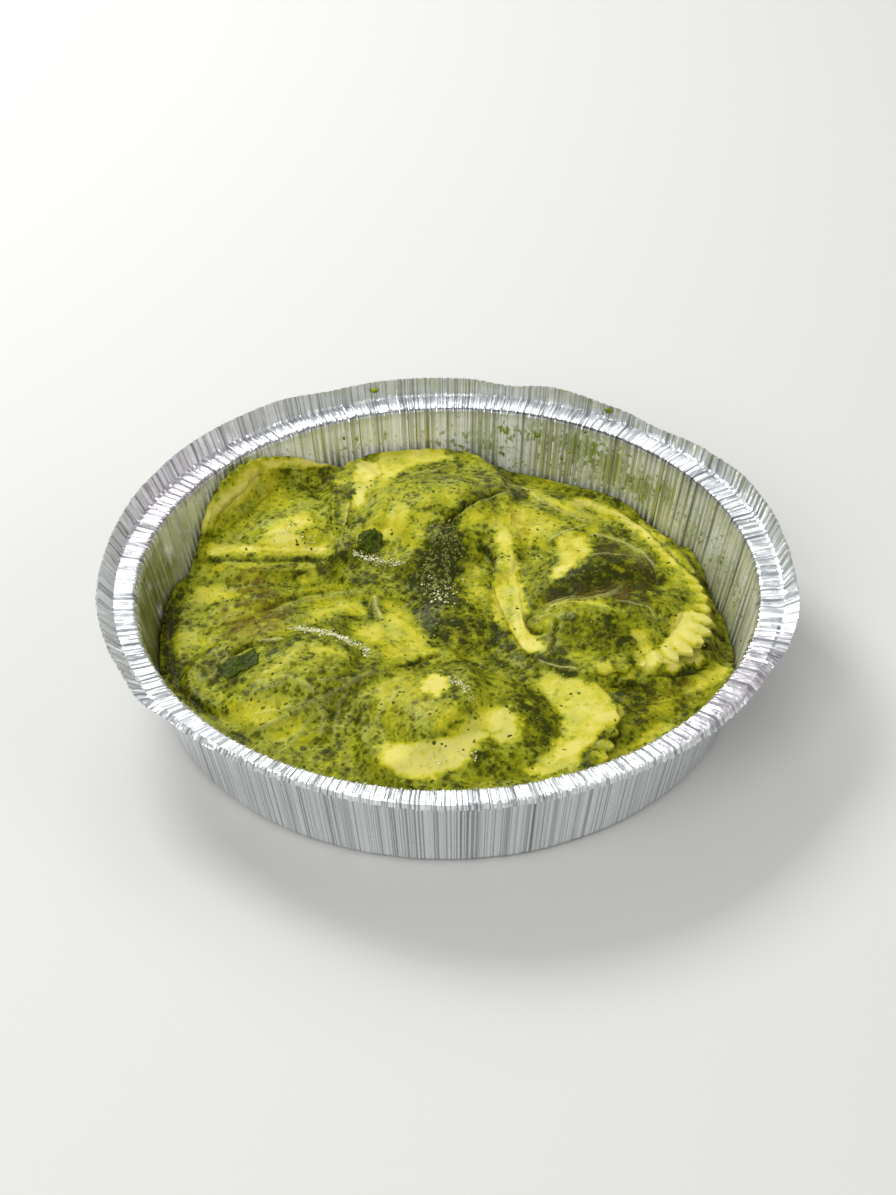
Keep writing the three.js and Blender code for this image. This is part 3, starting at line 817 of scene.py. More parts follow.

# %% [markdown]
# ### Folds
#
# The sheets of dough are creased, folded and rolled up at their borders, and these folds
# carry the look of the dish. Each has a name, a rise or a depth and a half width in
# millimetres, how much painted shade darkens its groove and how much painted highlight
# pales its crest, from 0 to 1, and its path on the plan.

# %% Folds and wrinkles of the dough
# name: rise, half width, dark (painted shade), pale (painted highlight), path.
FOLDS = {
    "strip lip": (0.9, 1.4, 0, 0, [(19, 30), (20, 22), (21.5, 12), (21.5, 4), (22.5, -6), (24, -15)]),
    "strip shelf": (-0.6, 1.5, 0, 0, [(16, 26), (17, 15), (17, 4)]),
    "hollow rim": (0.6, 1.3, 0, 0,
                   [(34, 40), (44, 40.5), (52, 38.5), (58, 34), (64, 27), (66, 18), (66, 8)]),
    "hollow crest": (0.2, 0.35, 0, 1,
                     [(43, 39.2), (48, 39), (52, 37.2), (56, 34.3), (60, 30.6), (63, 26), (64.5, 20)]),
    "hollow left crest": (0.2, 0.35, 0, 0.9, [(30, 36), (35, 40), (40, 43), (45, 45.8)]),
    "hollow floor": (-1.2, 2.2, 0.5, 0, [(29, 4), (33, 9), (38, 10.5), (45, 11), (52, 12), (60, 13)]),
    "hollow back": (-0.7, 2.6, 0.3, 0, [(52, 33), (58, 29), (62, 23), (63, 14)]),
    "hollow swell": (0.8, 2.6, 0, 0, [(37, 18), (43, 17), (50, 20)]),
    "hollow line one": (0.2, 0.4, 0, 0.9,
                        [(29, 3), (32, 6.5), (36, 8.5), (42, 9), (47, 9.5), (51, 12), (55, 15.5)]),
    "hollow line two": (0.2, 0.4, 0, 0.7,
                        [(30, 2), (33, 5.2), (37, 6.9), (42, 7.3), (47, 8.2), (52, 10.8), (55, 13)]),
    "hollow line three": (0.2, 0.35, 0, 0.7, [(44, 29), (50, 29.6), (56, 29.4), (61, 29.6)]),
    "hollow line four": (0.2, 0.4, 0, 0.8, [(50, 6.8), (56, 5), (60, 3), (62, 0), (63.5, -5)]),
    "lobe rim": (1.1, 1.8, 0, 0, [(29, -2), (32, 2), (38, 3.5), (44, 2.5), (52, 0)]),
    "lobe crest": (0.2, 0.6, 0, 0.5, [(29, 0), (32, 3.6), (38, 5.2), (44, 4.0), (50, 1.6)]),
    "lobe crescent": (-1.5, 0.9, 1, 0, [(26, 1), (23.8, -2), (24.2, -6), (26.5, -9), (30, -8)]),
    "lobe roll": (0.9, 1.2, 0, 0.35, [(25.5, -6), (27, -3), (30, 0)]),
    "lobe streak one": (0.4, 0.6, 0, 0.35, [(29, -19), (30.5, -12), (31, -3)]),
    "lobe streak two": (0.4, 0.6, 0, 0.35, [(32.5, -18), (33.5, -12), (34.5, -4)]),
    "lobe streak dark": (-0.5, 0.7, 0.6, 0, [(31, -18), (32, -11), (32.6, -2)]),
    "white edge": (0.4, 0.4, 0, 1, [(26, -21), (29, -24), (32, -25), (35, -25.6), (39, -26.8)]),
    "under white edge": (-0.5, 1.0, 0.6, 0, [(24, -18.5), (29, -21.5), (33, -23), (38, -24.5)]),
    "long crease": (-1.5, 1.0, 1, 0, [(-1, 45), (2, 50.5), (6, 56), (10, 59.3), (15, 62.5), (20, 66.5)]),
    "long crease crest": (0.5, 0.5, 0, 0.8, [(5, 54), (8, 57), (12, 59.6), (16, 61.4), (21, 63)]),
    "dark knob": (0.9, 1.7, 0.9, 0, [(20.5, 59), (23.5, 60.5), (25.2, 64)]),
    "behind the knob": (0.2, 0.45, 0, 0.9,
                        [(19, 68), (25, 65), (30, 58.5), (36, 52.5), (42, 48.3), (47, 46)]),
    "pillow back edge": (0.3, 0.4, 0, 0.5, [(-14, 75), (-6, 74.5), (-1, 77.3), (4, 80)]),
    "beside the strip": (-1.1, 1.3, 1, 0, [(10, 36), (12.5, 32), (14.5, 26), (15, 19)]),
    "under the strip": (-0.8, 1.5, 0.6, 0, [(12, -4), (16, -9), (19, -14), (20, -18)]),
    "corner border": (0.5, 1.6, 0, 0, [(-79, 43), (-76, 50), (-71, 58), (-66, 66), (-62, 74), (-60, 82)]),
    "inside the border": (-0.7, 2.0, 0.12, 0, [(-73, 42), (-69, 54), (-62, 66), (-57, 77)]),
    "corner front": (0.4, 1.5, 0, 0, [(-77, 33), (-62, 32.5), (-46, 32.5), (-34, 33)]),
    "under the corner": (-0.7, 1.1, 0.75, 0, [(-80, 29), (-66, 28.6), (-52, 28.6), (-38, 28.6), (-31, 29)]),
    "curled edge": (0.9, 0.6, 0, 0.8, [(-30.5, 59), (-31.5, 52), (-32, 45)]),
    "beside the curl": (-0.8, 1.2, 0.5, 0, [(-34, 62), (-34.5, 53), (-35, 46)]),
    "long border": (0.9, 1.1, 0, 0.35, [(-56, -2), (-52, 2), (-46, 6), (-38, 9.3), (-30, 10.6), (-23, 11)]),
    "above the border": (-0.9, 1.1, 0.75, 0, [(-60, 1), (-54, 5), (-46, 9.8), (-38, 12.6), (-28, 14)]),
    "white lip": (0.9, 0.7, 0, 1, [(-22.5, 11), (-21.7, 5), (-20.5, 1), (-19, -3)]),
    "beside the lip": (-0.7, 0.9, 0.5, 0, [(-24.5, 9), (-23.6, 3), (-21.8, -3)]),
    "white sliver": (0.5, 0.6, 0, 1, [(-57, -11.5), (-53, -11), (-49, -10.3)]),
    "black fold": (-1.1, 0.9, 1, 0, [(-71, -34), (-67.5, -27), (-65, -20), (-61, -15), (-55, -12)]),
    "beside the fold": (0.5, 0.8, 0, 0.6, [(-70, -31), (-67.5, -24), (-64, -17)]),
    "pale strip": (0.6, 1.7, 0, 0.3, [(-43, -11), (-46, -19), (-51, -25), (-57, -29)]),
    "grey crescent": (0.5, 1.0, 0, 0.55, [(-51, -28), (-45, -30), (-41, -33), (-37, -36.5)]),
    "long ray": (0.5, 0.8, 0, 0.45, [(-21, -25), (-30, -33), (-38, -40), (-47, -47), (-60, -56)]),
    "second ray": (0.4, 0.7, 0, 0.35, [(-19, -26), (-28, -30), (-40, -30)]),
    "third ray": (0.5, 0.7, 0, 0.5, [(-37, -42), (-35.8, -50), (-37.5, -57)]),
    "fourth ray": (0.5, 0.9, 0, 0.4, [(-33, -38), (-40, -48), (-44, -57), (-49, -65)]),
    "fifth ray": (0.4, 0.7, 0, 0.4, [(-36, -37), (-45, -43), (-58, -46)]),
    "sixth ray": (0.4, 0.7, 0, 0.3, [(-29, -34), (-32, -45), (-33, -60)]),
    "short crease": (-1.0, 0.8, 1, 0, [(-16, -25), (-10, -23), (-6, -20.5), (-1, -18)]),
    "left gap": (-2.0, 1.7, 1, 0,
                 [(-82, 14), (-83.5, 2), (-83.5, -10), (-82, -21), (-79, -31), (-73, -41), (-65, -50)]),
    "right gap": (-0.5, 0.6, 0.9, 0,
                  [(50, 57), (57, 50), (64, 40), (69, 30), (74, 21), (79, 13), (80.5, 4)]),
    "under the teeth": (-1.5, 1.3, 1, 0, [(58, -29), (62, -28.8), (66, -29.2), (72, -27.6), (76, -24)]),
    "tooth gap one": (-1.0, 0.8, 1, 0, [(80, 3), (80.5, -1), (80, -5)]),
    "tooth gap two": (-1.0, 0.8, 1, 0, [(79, -8), (80.5, -10.5), (82.5, -15)]),
    "tooth gap three": (-1.0, 0.9, 0.9, 0, [(74, -15), (76.5, -17), (79, -18)]),
    "front border shade": (-0.6, 1.0, 0.8, 0, [(46, -54), (42.5, -60), (38.5, -65), (38, -70)]),
    "front border shade two": (-0.5, 0.9, 0.6, 0, [(44, -33), (48.5, -40), (52, -45)]),
}
# Half width, pitch, strength and path of the bundles of fine wrinkles.
VEILS = [
    (3.0, 1.3, 0.9, [(-19, 67), (-25, 57), (-29, 49), (-32, 40), (-30, 31)]),
    (3.4, 1.5, 0.7, [(-16, 69), (-2, 70), (8, 71), (16, 69), (26, 64)]),
    (2.8, 1.3, 0.9, [(19, 67), (28, 60), (36, 54), (46, 48)]),
    (2.4, 1.1, 0.8, [(29, 5), (36, 9.5), (44, 10.5), (50, 12), (57, 17)]),
    (3.0, 1.1, 0.8, [(50, 7), (58, 4), (63, -3), (65, -12)]),
    (2.0, 1.0, 0.6, [(50, 36), (58, 31), (62, 25), (64, 16)]),
    (2.0, 1.1, 0.6, [(22, 26), (26, 17), (30, 8)]),
    (2.4, 1.3, 0.5, [(-54, 2), (-44, 7), (-32, 10)]),
    (4.5, 2.0, 0.5, [(-24, -30), (-40, -42), (-56, -56)]),
    (3.0, 1.7, 0.4, [(-20, -28), (-25, -42), (-23, -58)]),
    (3.0, 1.5, 0.5, [(-10, 62), (-14, 52), (-22, 46)]),
    (3.0, 1.4, 0.4, [(28, -10), (31, -18), (40, -22)]),
]


def folds_at(px, py):
    """Rise in millimetres, painted shade and painted highlight of the folds at places on the plan."""
    rise, dark, pale = np.zeros(px.shape), np.zeros(px.shape), np.zeros(px.shape)
    for high, half, shade, crest, path in FOLDS.values():
        drawn = stroke(px, py, path, half)
        rise += high * drawn
        dark = np.maximum(dark, shade * drawn)
        pale = np.maximum(pale, crest * drawn)
    for seed, (half, pitch, strength, path) in enumerate(VEILS):
        wrinkles = strength * veil(px, py, path, half, pitch, 400 + 5 * seed)
        rise += 0.3 * wrinkles
        # Each wrinkle's crest gets a painted highlight.
        pale = np.maximum(pale, 0.8 * wrinkles)
    return rise, dark, pale


print("folds:", len(FOLDS), "veils:", len(VEILS))

# %% [markdown]
# ### Bare, dark, brown and crumbly patches
#
# Where the dough is bare it is pale and clean; where oil lies on it, it is a deep yellow.
# Between the patches lies a middling coat that noise thins and thickens. The dark patches
# are partly thick dark pesto and partly painted shade: in the hollow of a pillow, in the
# valleys and beside raised edges and gaps.

# %% Patches on the food
PESTO_COAT = 0.6
SOFTER = 1.5
# Strength, softness and outline.
BARE = [
    (0.2, 3.0, [(-74, 36), (-64, 62), (-60, 78), (-32, 78), (-30, 56), (-34, 36)]),
    (0.5, 3.0, [(-9, -41), (4, -41), (7, -49), (-4, -54), (-12, -50)]),
    (0.3, 4.0, [(-20, 66), (4, 66), (2, 40), (-16, 32), (-28, 44)]),
    (0.84, 0.8, [(19.5, 34), (21, 30), (22, 22), (23, 14), (24, 6), (24, 0), (25, -7), (28, -14),
                 (28, -18), (24, -18), (20.5, -16), (20, -11), (19, -4), (19, 4), (19.5, 12),
                 (18, 20), (17.5, 28)]),
    (0.7, 0.8, [(14.5, 27), (18, 28), (18, 20), (19.5, 13), (19, 5), (19, -4), (20, -12), (16, -7),
                (14, -3), (14, 6), (14.5, 15)]),
    (0.8, 1.4, [(14, 51), (18, 49), (20, 40), (20, 32), (17, 28), (16, 36), (14, 43)]),
    (0.65, 2.6, [(18, 55), (28, 53), (36, 48), (34, 41), (28, 37), (21, 37), (19, 44)]),
    (0.8, 1.2, [(34, 38), (38, 41), (43, 39), (44, 31), (41, 25), (37, 21), (33, 17), (31, 19),
                (34, 25), (35, 31)]),
    (0.9, 0.7, [(70, 0), (75, 1), (80, -3), (79, -7), (77, -14), (75.5, -19), (74, -26), (70, -23),
                (66, -28), (62, -25), (60, -30), (56, -26), (58, -20), (63, -18), (64, -13),
                (67, -9), (68, -3)]),
    (0.7, 0.8, [(56, -9), (60, -9), (61, -15), (60, -20), (57, -19)]),
    (0.7, 0.8, [(43, -23), (47, -23), (50, -29), (46, -32)]),
    (0.6, 0.8, [(51, -27), (54, -26), (55, -31), (52, -32)]),
    (0.75, 1.8, [(-57, 48), (-50, 52), (-43, 54), (-43, 48), (-46, 42), (-42, 35), (-52, 33),
                 (-58, 36), (-58, 42)]),
    (1.0, 1.8, [(-56, 37), (-54, 45), (-49, 47), (-48, 40), (-50, 35)]),
    (0.95, 1.0, [(-29, 81), (-22, 81), (-21, 74), (-24, 66), (-26, 58), (-30.5, 55), (-30, 62),
                 (-30, 70)]),
    (0.72, 1.2, [(-22, 87), (-15, 88), (-9, 89), (-1, 87), (2, 82), (-6, 80), (-12, 77), (-15, 74),
                 (-18, 70), (-24, 65), (-21, 74), (-22, 80)]),
    (0.75, 1.8, [(-17, 59), (-12, 56), (-12, 46), (-16, 38), (-22, 40), (-19, 48)]),
    (0.55, 2.0, [(-10, 52), (-3, 54), (-2, 48), (-7, 42), (-11, 46)]),
    (0.5, 2.4, [(4, 42), (9, 46), (13, 54), (7, 54), (4, 48)]),
    (0.38, 2.0, [(5, 24), (9, 26), (12, 22), (12, 10), (8, 5), (4, 9), (4, 16)]),
    (0.45, 1.8, [(-76, 26), (-68, 27), (-63, 25), (-64, 20), (-72, 20), (-78, 21)]),
    (0.55, 1.8, [(-78, 16), (-70, 17), (-65, 15), (-65, 10), (-72, 6), (-79, 8)]),
    (0.55, 1.8, [(-45, 26), (-41, 26), (-39, 18), (-44, 17)]),
    (0.5, 1.4, [(-48, 11), (-40, 15), (-33, 15), (-33, 12), (-40, 11)]),
    (0.4, 2.0, [(-80, -4), (-74, -6), (-72, -12), (-78, -16), (-82, -10)]),
    (0.72, 1.8, [(-28, -5), (-20, -4), (-18, -10), (-22, -13), (-28, -11)]),
    (0.58, 2.2, [(-19, 6), (-12, 0), (-8, -8), (-5, -12), (-6, -20), (-14, -22), (-19, -14)]),
    (0.55, 1.8, [(-42, 3), (-32, 7), (-25, 6), (-25, 1), (-33, 1), (-41, -2)]),
    (0.6, 1.4, [(-42, -13), (-36, -14), (-31, -17), (-30, -20), (-36, -18), (-41, -17)]),
    (0.5, 3.0, [(-68, -37), (-56, -37), (-47, -40), (-52, -49), (-61, -51)]),
    (0.4, 2.4, [(-50, -50), (-44, -48), (-40, -56), (-46, -64), (-54, -56)]),
    (1.0, 1.2, [(-8, -31), (-4, -28), (0, -30), (0, -35), (-3, -38), (-8, -36)]),
    (1.0, 1.4, [(12, -46), (17, -44), (20, -49), (20, -57), (16, -60), (12, -57), (11, -50)]),
    (1.0, 1.4, [(-19, -60), (-10, -60), (-2, -57.5), (5, -55), (10, -52), (11, -57), (7, -63),
                (3, -70), (-6, -75), (-15, -73), (-20, -67)]),
    (0.8, 2.0, [(0, -54), (10, -45), (17, -43), (12, -52), (6, -58)]),
    (0.6, 3.0, [(-22, -34), (-10, -29), (-8, -38), (-18, -45)]),
    (0.72, 0.9, [(28, -28), (36, -30), (42, -34), (47, -36), (48.5, -39.5), (46.5, -43), (51, -44.5),
                 (50, -50), (45, -54), (42.5, -56), (43, -60), (38, -64), (38, -68), (33, -72),
                 (25, -75), (22, -71), (29, -62), (33, -56), (33, -48), (30, -40), (26, -33)]),
    (0.95, 1.2, [(33, -58), (41, -56), (42, -60), (36, -66), (28, -72), (30, -64)]),
    (0.95, 1.2, [(42, -46), (49, -45), (50, -48), (44, -53), (38, -52)]),
]
# Bare bands along a path: strength, half width and path.
BARE_BANDS = [
    (0.95, 2.4, [(33, 59), (46, 55), (54, 50), (60, 43.5), (65, 36), (69, 28), (74, 18)]),
    (0.7, 2.2, [(72, 24), (76, 14), (78, 5), (77, -8)]),
    (0.6, 1.2, [(28, -1), (33, 4), (38, 5.2), (43, 4), (52, 0)]),
    (1.0, 4.4, [(-78, 41), (-76, 50), (-71, 58), (-66, 66), (-62, 74), (-59, 83)]),
    (1.0, 3.0, [(-62, 79.5), (-50, 80.5), (-40, 81.5), (-26, 83)]),
    (0.9, 3.0, [(-79, 34.5), (-62, 34), (-50, 33.5), (-32, 33.5)]),
    (0.6, 2.2, [(22, 67), (31, 60), (38, 54), (44, 50), (56, 47)]),
    (0.6, 1.8, [(42, -69), (54, -61), (66, -51)]),
    (0.65, 2.2, [(68, -39), (76, -32), (84, -24)]),
    (0.5, 1.8, [(-43, -11), (-46, -19), (-51, -25), (-57, -29)]),
]
# Dark patches: thick dark pesto, and painted shade in hollows, valleys and beside edges.
DARK_PESTO_AND_SHADE = [
    (0.5, 2.0, [(46, 37), (52, 36), (59, 30), (64, 25), (65, 18), (64, 9), (60, 5), (50, 7), (40, 8),
                (31, 8), (30, 12), (34, 15), (38, 21), (44, 25), (46, 31)]),
    (0.75, 1.8, [(56, 29), (61, 28), (64, 22), (64, 10), (59, 7), (57, 12), (60, 18), (58, 24)]),
    (0.9, 2.4, [(-6, 45), (0, 49), (4, 44), (6, 34), (4, 24), (4, 12), (0, 6), (-8, 8), (-10, 18),
                (-8, 26), (-3, 34)]),
    (0.3, 2.4, [(-46, 76), (-34, 77), (-31, 68), (-31, 58), (-38, 56), (-44, 64)]),
    (0.85, 1.4, [(-44, 24), (-47, 22), (-49, 17), (-46, 17), (-44, 20)]),
    (0.22, 2.4, [(20, -28), (26, -36), (30, -48), (27, -62), (22, -62), (21, -46), (17, -34)]),
    (0.4, 3.0, [(-4, 0), (12, -2), (18, -14), (4, -18), (-6, -10)]),
    (0.25, 2.0, [(34, -2), (44, -4), (54, -8), (52, -18), (38, -16)]),
    (0.04, 2.4, [(-8, -42), (2, -42), (4, -50), (-4, -55), (-14, -54)]),
    (0.2, 2.0, [(48, -34), (62, -32), (60, -44), (50, -46)]),
]
BROWN = [
    (0.8, 3.0, [(-64, 24), (-56, 24), (-48, 2), (-52, -10), (-62, -12), (-72, -4), (-66, 8)]),
    (0.8, 2.0, [(29, 3), (31, 9), (44, 13), (56, 17), (60, 8), (48, 6), (36, 6)]),
    (0.6, 3.0, [(50, 35), (60, 30), (65, 18), (60, 10), (56, 22)]),
    (0.5, 3.0, [(19, 52), (32, 50), (35, 44), (24, 39)]),
    (0.35, 3.0, [(-23, -36), (-9, -32), (-3, -42), (2, -46), (-12, -48)]),
    (0.5, 3.0, [(54, -54), (66, -44), (76, -34), (70, -30), (58, -40)]),
    (0.4, 3.0, [(-64, 76), (-54, 78), (-54, 62), (-64, 60)]),
]
CRUMBLY = [
    (1.0, 2.4, [(-8, 46), (1, 50), (5, 44), (6, 30), (4, 6), (-10, 5), (-12, 20), (-6, 32)]),
    (0.8, 2.0, [(-31, 33), (-12, 28), (-12, 22), (-30, 24)]),
    (0.5, 3.0, [(-46, -3), (-24, -10), (-22, -20), (-44, -12)]),
    (0.4, 3.0, [(-10, 4), (10, 2), (10, -10), (-6, -12)]),
    (0.3, 3.0, [(36, -4), (58, -8), (56, -20), (38, -18)]),
]


def drawn_patches(px, py, places):
    total = np.zeros(px.shape)
    for strength, soft, outline in places:
        total = np.maximum(total, strength * patch(px, py, outline, SOFTER * soft))
    return total


def food_marks(points):
    """Marks from 0 to 1 for points of the food, and the rise of its folds."""
    px, py = on_plan(points)
    x, y = points[..., 0], points[..., 1]
    wander_x = px + 1.2 * noise(px, py, 7.0, 41) + 1.0 * rough(px, py, 2.6, 42)
    wander_y = py + 1.2 * noise(px, py, 7.0, 43) + 1.0 * rough(px, py, 2.6, 44)
    bare = drawn_patches(wander_x, wander_y, BARE)
    for strength, half, path in BARE_BANDS:
        bare = np.maximum(bare, strength * stroke(wander_x, wander_y, path, half))
    dark = drawn_patches(wander_x, wander_y, DARK_PESTO_AND_SHADE)
    dark = np.clip(dark * (0.9 + 0.9 * rough(px, py, 4.0, 47)), 0, 1)
    brown = drawn_patches(wander_x, wander_y, BROWN)
    crumbs = drawn_patches(wander_x, wander_y, CRUMBLY)
    bend_x = px + 0.5 * noise(px, py, 4.0, 48)
    bend_y = py + 0.5 * noise(px, py, 4.0, 49)
    # The folds give painted shade in grooves and gaps and a painted highlight on crests.
    rise, shade, pale = folds_at(bend_x, bend_y)
    pesto = PESTO_COAT + 0.16 * rough(x, y, 12.0, 45)
    bare = np.clip(bare * (1.06 + 0.25 * rough(px, py, 6.0, 46)), 0, 1)
    # The dark mark is darker pesto and painted shade of hollows, gaps and fold grooves; it also deepens the
    # pesto mark.
    pesto = pesto * (1 - bare) + 0.3 * dark + 0.12 * crumbs
    marks = {"pesto": pesto, "dark": np.maximum(dark, shade), "brown": brown,
             "crumbs": crumbs, "ridge_highlight": pale}
    marks = {name: np.clip(value, 0, 1) for name, value in marks.items()}
    return marks, rise


def with_low_marks(marks, low):
    """The marks of a top, and after them those of the points below it."""
    below, _ = food_marks(low)
    return {name: np.concatenate([marks[name], below[name]]) for name in marks}


print("patches:", len(BARE), "bare,", len(DARK_PESTO_AND_SHADE), "dark,", len(BROWN), "brown")

# %% [markdown]
# ### The mesh of a raviolo
#
# A square grid is wrapped onto the rounded square: each grid ring becomes an outline of
# its own size, so the cells stay nearly even and the rim gets the finest row, where the
# teeth are. The underside is hidden, and a few plain rings close it.

# %% Building a raviolo
GRID = 260
UNDER_RINGS = [0.97, 0.85, 0.6, 0.3]
TOOTH_START = 0.84
TOOTH_FOLD = 0.32
BELT_OUT = 0.3


def square_grid(count):
    """Grid rows as a ring share from 0 to 1 and an angle, and the rim's point numbers."""
    line = np.linspace(-1, 1, count + 1)
    u, v = np.meshgrid(line, line, indexing="ij")
    share = np.maximum(np.abs(u), np.abs(v))
    safe = np.where(share == 0, 1, share)
    flat = np.abs(u) >= np.abs(v)
    with np.errstate(divide="ignore", invalid="ignore"):
        side = np.where(flat, math.pi / 4 * v / u, math.pi / 2 - math.pi / 4 * u / v)
    side = np.where(safe == share, side, 0)
    back = np.where(flat, u < 0, v < 0)
    angle = np.where(back, side + math.pi, side)
    number = np.arange((count + 1) ** 2).reshape(count + 1, count + 1)
    rim = np.concatenate([
        number[-1, count // 2:], number[-2::-1, -1], number[0, -2::-1],
        number[1:, 0], number[-1, 1:count // 2],
    ])
    quads = grid_quads(count + 1, count + 1).reshape(-1, 4)
    return share.ravel(), angle.ravel(), rim, quads


GRID_SHARE, GRID_ANGLE, GRID_RIM, GRID_QUADS = square_grid(GRID)


def teeth_of(name, angle):
    """The wave of the fluted cut, 0 on a tooth and 1 between two, and its strength."""
    piece = RAVIOLI[name]
    teeth = round(PERIMETER_SHARE * (piece["a"] + piece["b"]) / TOOTH_PITCH)
    wave = 0.5 - 0.5 * np.cos(teeth * angle + 0.5 * np.sin(5 * angle))
    uneven = 0.8 + 0.4 * noise(20 * np.cos(angle), 20 * np.sin(angle), 5.0, int(piece["a"]))
    strength = np.full_like(angle, SOFT_FLUTES)
    for at, width, full in CRISP.get(name, []):
        strength = np.maximum(strength, full * bump(np.degrees(angle), at, width))
    return wave, strength * uneven


def fold_in(name, share, angle, marks):
    """The folds that run in from the teeth: painted highlight on top, painted shade between."""
    wave, strength = teeth_of(name, angle)
    band = ease((share - 0.78) / 0.1) * np.clip(strength - SOFT_FLUTES, 0, 1.6)
    marks["pesto"] = np.clip(marks["pesto"] + 0.3 * band * (wave**2 - 0.5), 0, 1)
    marks["ridge_highlight"] = np.clip(marks["ridge_highlight"] + 0.3 * band * (1 - wave) ** 3, 0, 1)
    return TOOTH_FOLD * band * (1 - 2 * wave)


def edge_half(share):
    """Half the dough's thickness, thinning to the cut edge."""
    near = np.clip((share - 0.8) / 0.2, 0, 1)
    return DOUGH_HALF - (DOUGH_HALF - EDGE_HALF * 0.75) * near**2


def top_relief(base, share, marks, rise):
    """Lumps of pesto, wrinkles and a slack, uneven skin, in millimetres."""
    x, y = base[..., 0], base[..., 1]
    coat, crumbs = marks["pesto"], marks["crumbs"]
    relief = 0.35 * rough(x, y, 14.0, 200) + 0.16 * noise(x, y, 5.0, 201)
    relief = relief + coat * (0.12 * rough(x, y, 2.6, 202) + 0.08 * noise(x, y, 1.1, 203))
    relief = relief + crumbs * (0.4 * noise(x, y, 2.0, 204) + 0.3 * noise(x, y, 1.1, 205))
    relief = relief + rise
    crimp = ease((share - 0.86) / 0.08) * (1 - ease((share - 0.98) / 0.02))
    return relief * (1 - 0.5 * crimp)


def under_rings(piece, reach, angle):
    """Rings from the belt of the cut edge down and in under the raviolo."""
    def on_sheet(radius):
        return radius * np.cos(angle), radius * np.sin(angle)

    rings = [sheet_point(piece, *on_sheet(reach + BELT_OUT))]
    for share in [1.0] + UNDER_RINGS:
        s, t = on_sheet(reach * share)
        ring = sheet_point(piece, s, t) - sheet_normal(piece, s, t) * edge_half(share)
        ring[:, 2] -= under_thickness(piece, s, t) - DOUGH_HALF
        rings.append(ring)
    return rings


def build_raviolo(name):
    piece = RAVIOLI[name]
    share, angle = GRID_SHARE, GRID_ANGLE
    wave, strength = teeth_of(name, angle)
    inset = TOOTH_DEPTH * strength * wave**0.8 * ease((share - TOOTH_START) / (1 - TOOTH_START))
    reach = share * outline_radius(piece, angle) - inset
    s, t = reach * np.cos(angle), reach * np.sin(angle)
    base = sheet_point(piece, s, t)
    normal = sheet_normal(piece, s, t)
    top = base + normal * edge_half(share)[:, None]
    top[:, 2] += top_thickness(piece, s, t) - DOUGH_HALF
    marks, rise = food_marks(top)
    rise = rise + fold_in(name, share, angle, marks)
    top += normal * top_relief(top, share, marks, rise)[:, None]

    rings = under_rings(piece, reach[GRID_RIM], angle[GRID_RIM])
    centre = rings[-1].mean(axis=0, keepdims=True)
    points = np.concatenate([top, *rings, centre])
    faces = [GRID_QUADS, *closed_below(GRID_RIM, len(top), len(rings))]
    marks = with_low_marks(marks, points[len(top):])
    raviolo = make_piece(name + "_visual", points, faces, marks)
    ready(raviolo, name)
    return raviolo


ravioli = {name: build_raviolo(name) for name in ORDER}

# %% [markdown]
# ## The pesto between the ravioli
#
# Pesto stands deep between the ravioli and climbs into every step where one lies on
# another, so that few cut edges show. Rolling a ball over the food gives just that
# surface: it touches the pillows and bridges the valleys. Here the ball is a parabola,
# because a parabola can be rolled along the rows first and the columns after. The food's
# height is put on a grid, the parabola is pressed down on it from above, and the result
# is the top of the pesto. Where a fluted edge still shows, the pesto is sunk again.

# %% Rolling surface over the food
CELL = 0.6
REACH = 94.0
BALL_RADIUS = 5.0
DEEPEST_STEP = 14.0
# The shore is the pesto beside the wall. Its level follows the food's edge in each sector.
SHORE_SECTORS = 60
SHORE_BAND = (72, 86)
SHORE_START = 87
SHORE_DROP = 5.0
SHORE_TOP = 18
RIGHT_GAP = 8
POOL_LEVEL = 12.0
POOL_SWELLS = [(2, 2, 26, 7), (1, 12, 13, 3.5), (88, 14, 26, -6), (-39, 77, 7, 12)]
# Edges that stay clear of pesto, on the plan: x, y, radii, turn, strength.
CLEAR_EDGES = [
    (80, -14, 20, 13, -50, 1.0), (81, 6, 18, 5, 80, 1.0),
    (48, -46, 20, 8, 82, 0.8), (16, 8, 24, 4, -76, 0.6),
    (-66, 62, 26, 6, 58, 0.8), (-38, 84, 34, 5, 4, 0.8), (-31, 62, 16, 4, 78, 0.8),
]


def pool_height(x, y):
    height = POOL_LEVEL + 0.5 * np.sin(x / 6) * np.cos(y / 7)
    for sx, sy, radius, rise in POOL_SWELLS:
        height = height + rise * np.exp(-((np.hypot(x - sx, y - sy) / radius) ** 2))
    return height


def press(heights, sign):
    """The parabola laid over the heights (sign 1) or pressed up from below (-1)."""
    reach = int(math.sqrt(2 * BALL_RADIUS * DEEPEST_STEP) / CELL)
    for axis in (0, 1):
        best = sign * heights
        flat = best.copy()
        for k in range(1, reach + 1):
            drop = (k * CELL) ** 2 / (2 * BALL_RADIUS)
            for way in (k, -k):
                best = np.maximum(best, np.roll(flat, way, axis) - drop)
        heights = sign * best
    return heights


def food_heights():
    """The highest point of the food in each cell of the grid."""
    count = int(2 * REACH / CELL) + 1
    line = -REACH + CELL * np.arange(count)
    gx, gy = np.meshgrid(line, line, indexing="ij")
    heights = pool_height(gx, gy)
    for name in ORDER:
        count = (GRID + 1) ** 2
        points = np.empty(len(ravioli[name].data.vertices) * 3)
        ravioli[name].data.vertices.foreach_get("co", points)
        points = points.reshape(-1, 3)[:count] / MM
        i, j = (np.rint((points[:, c] + REACH) / CELL).astype(int) for c in (0, 1))
        np.maximum.at(heights, (i, j), points[:, 2])
    return gx, gy, heights


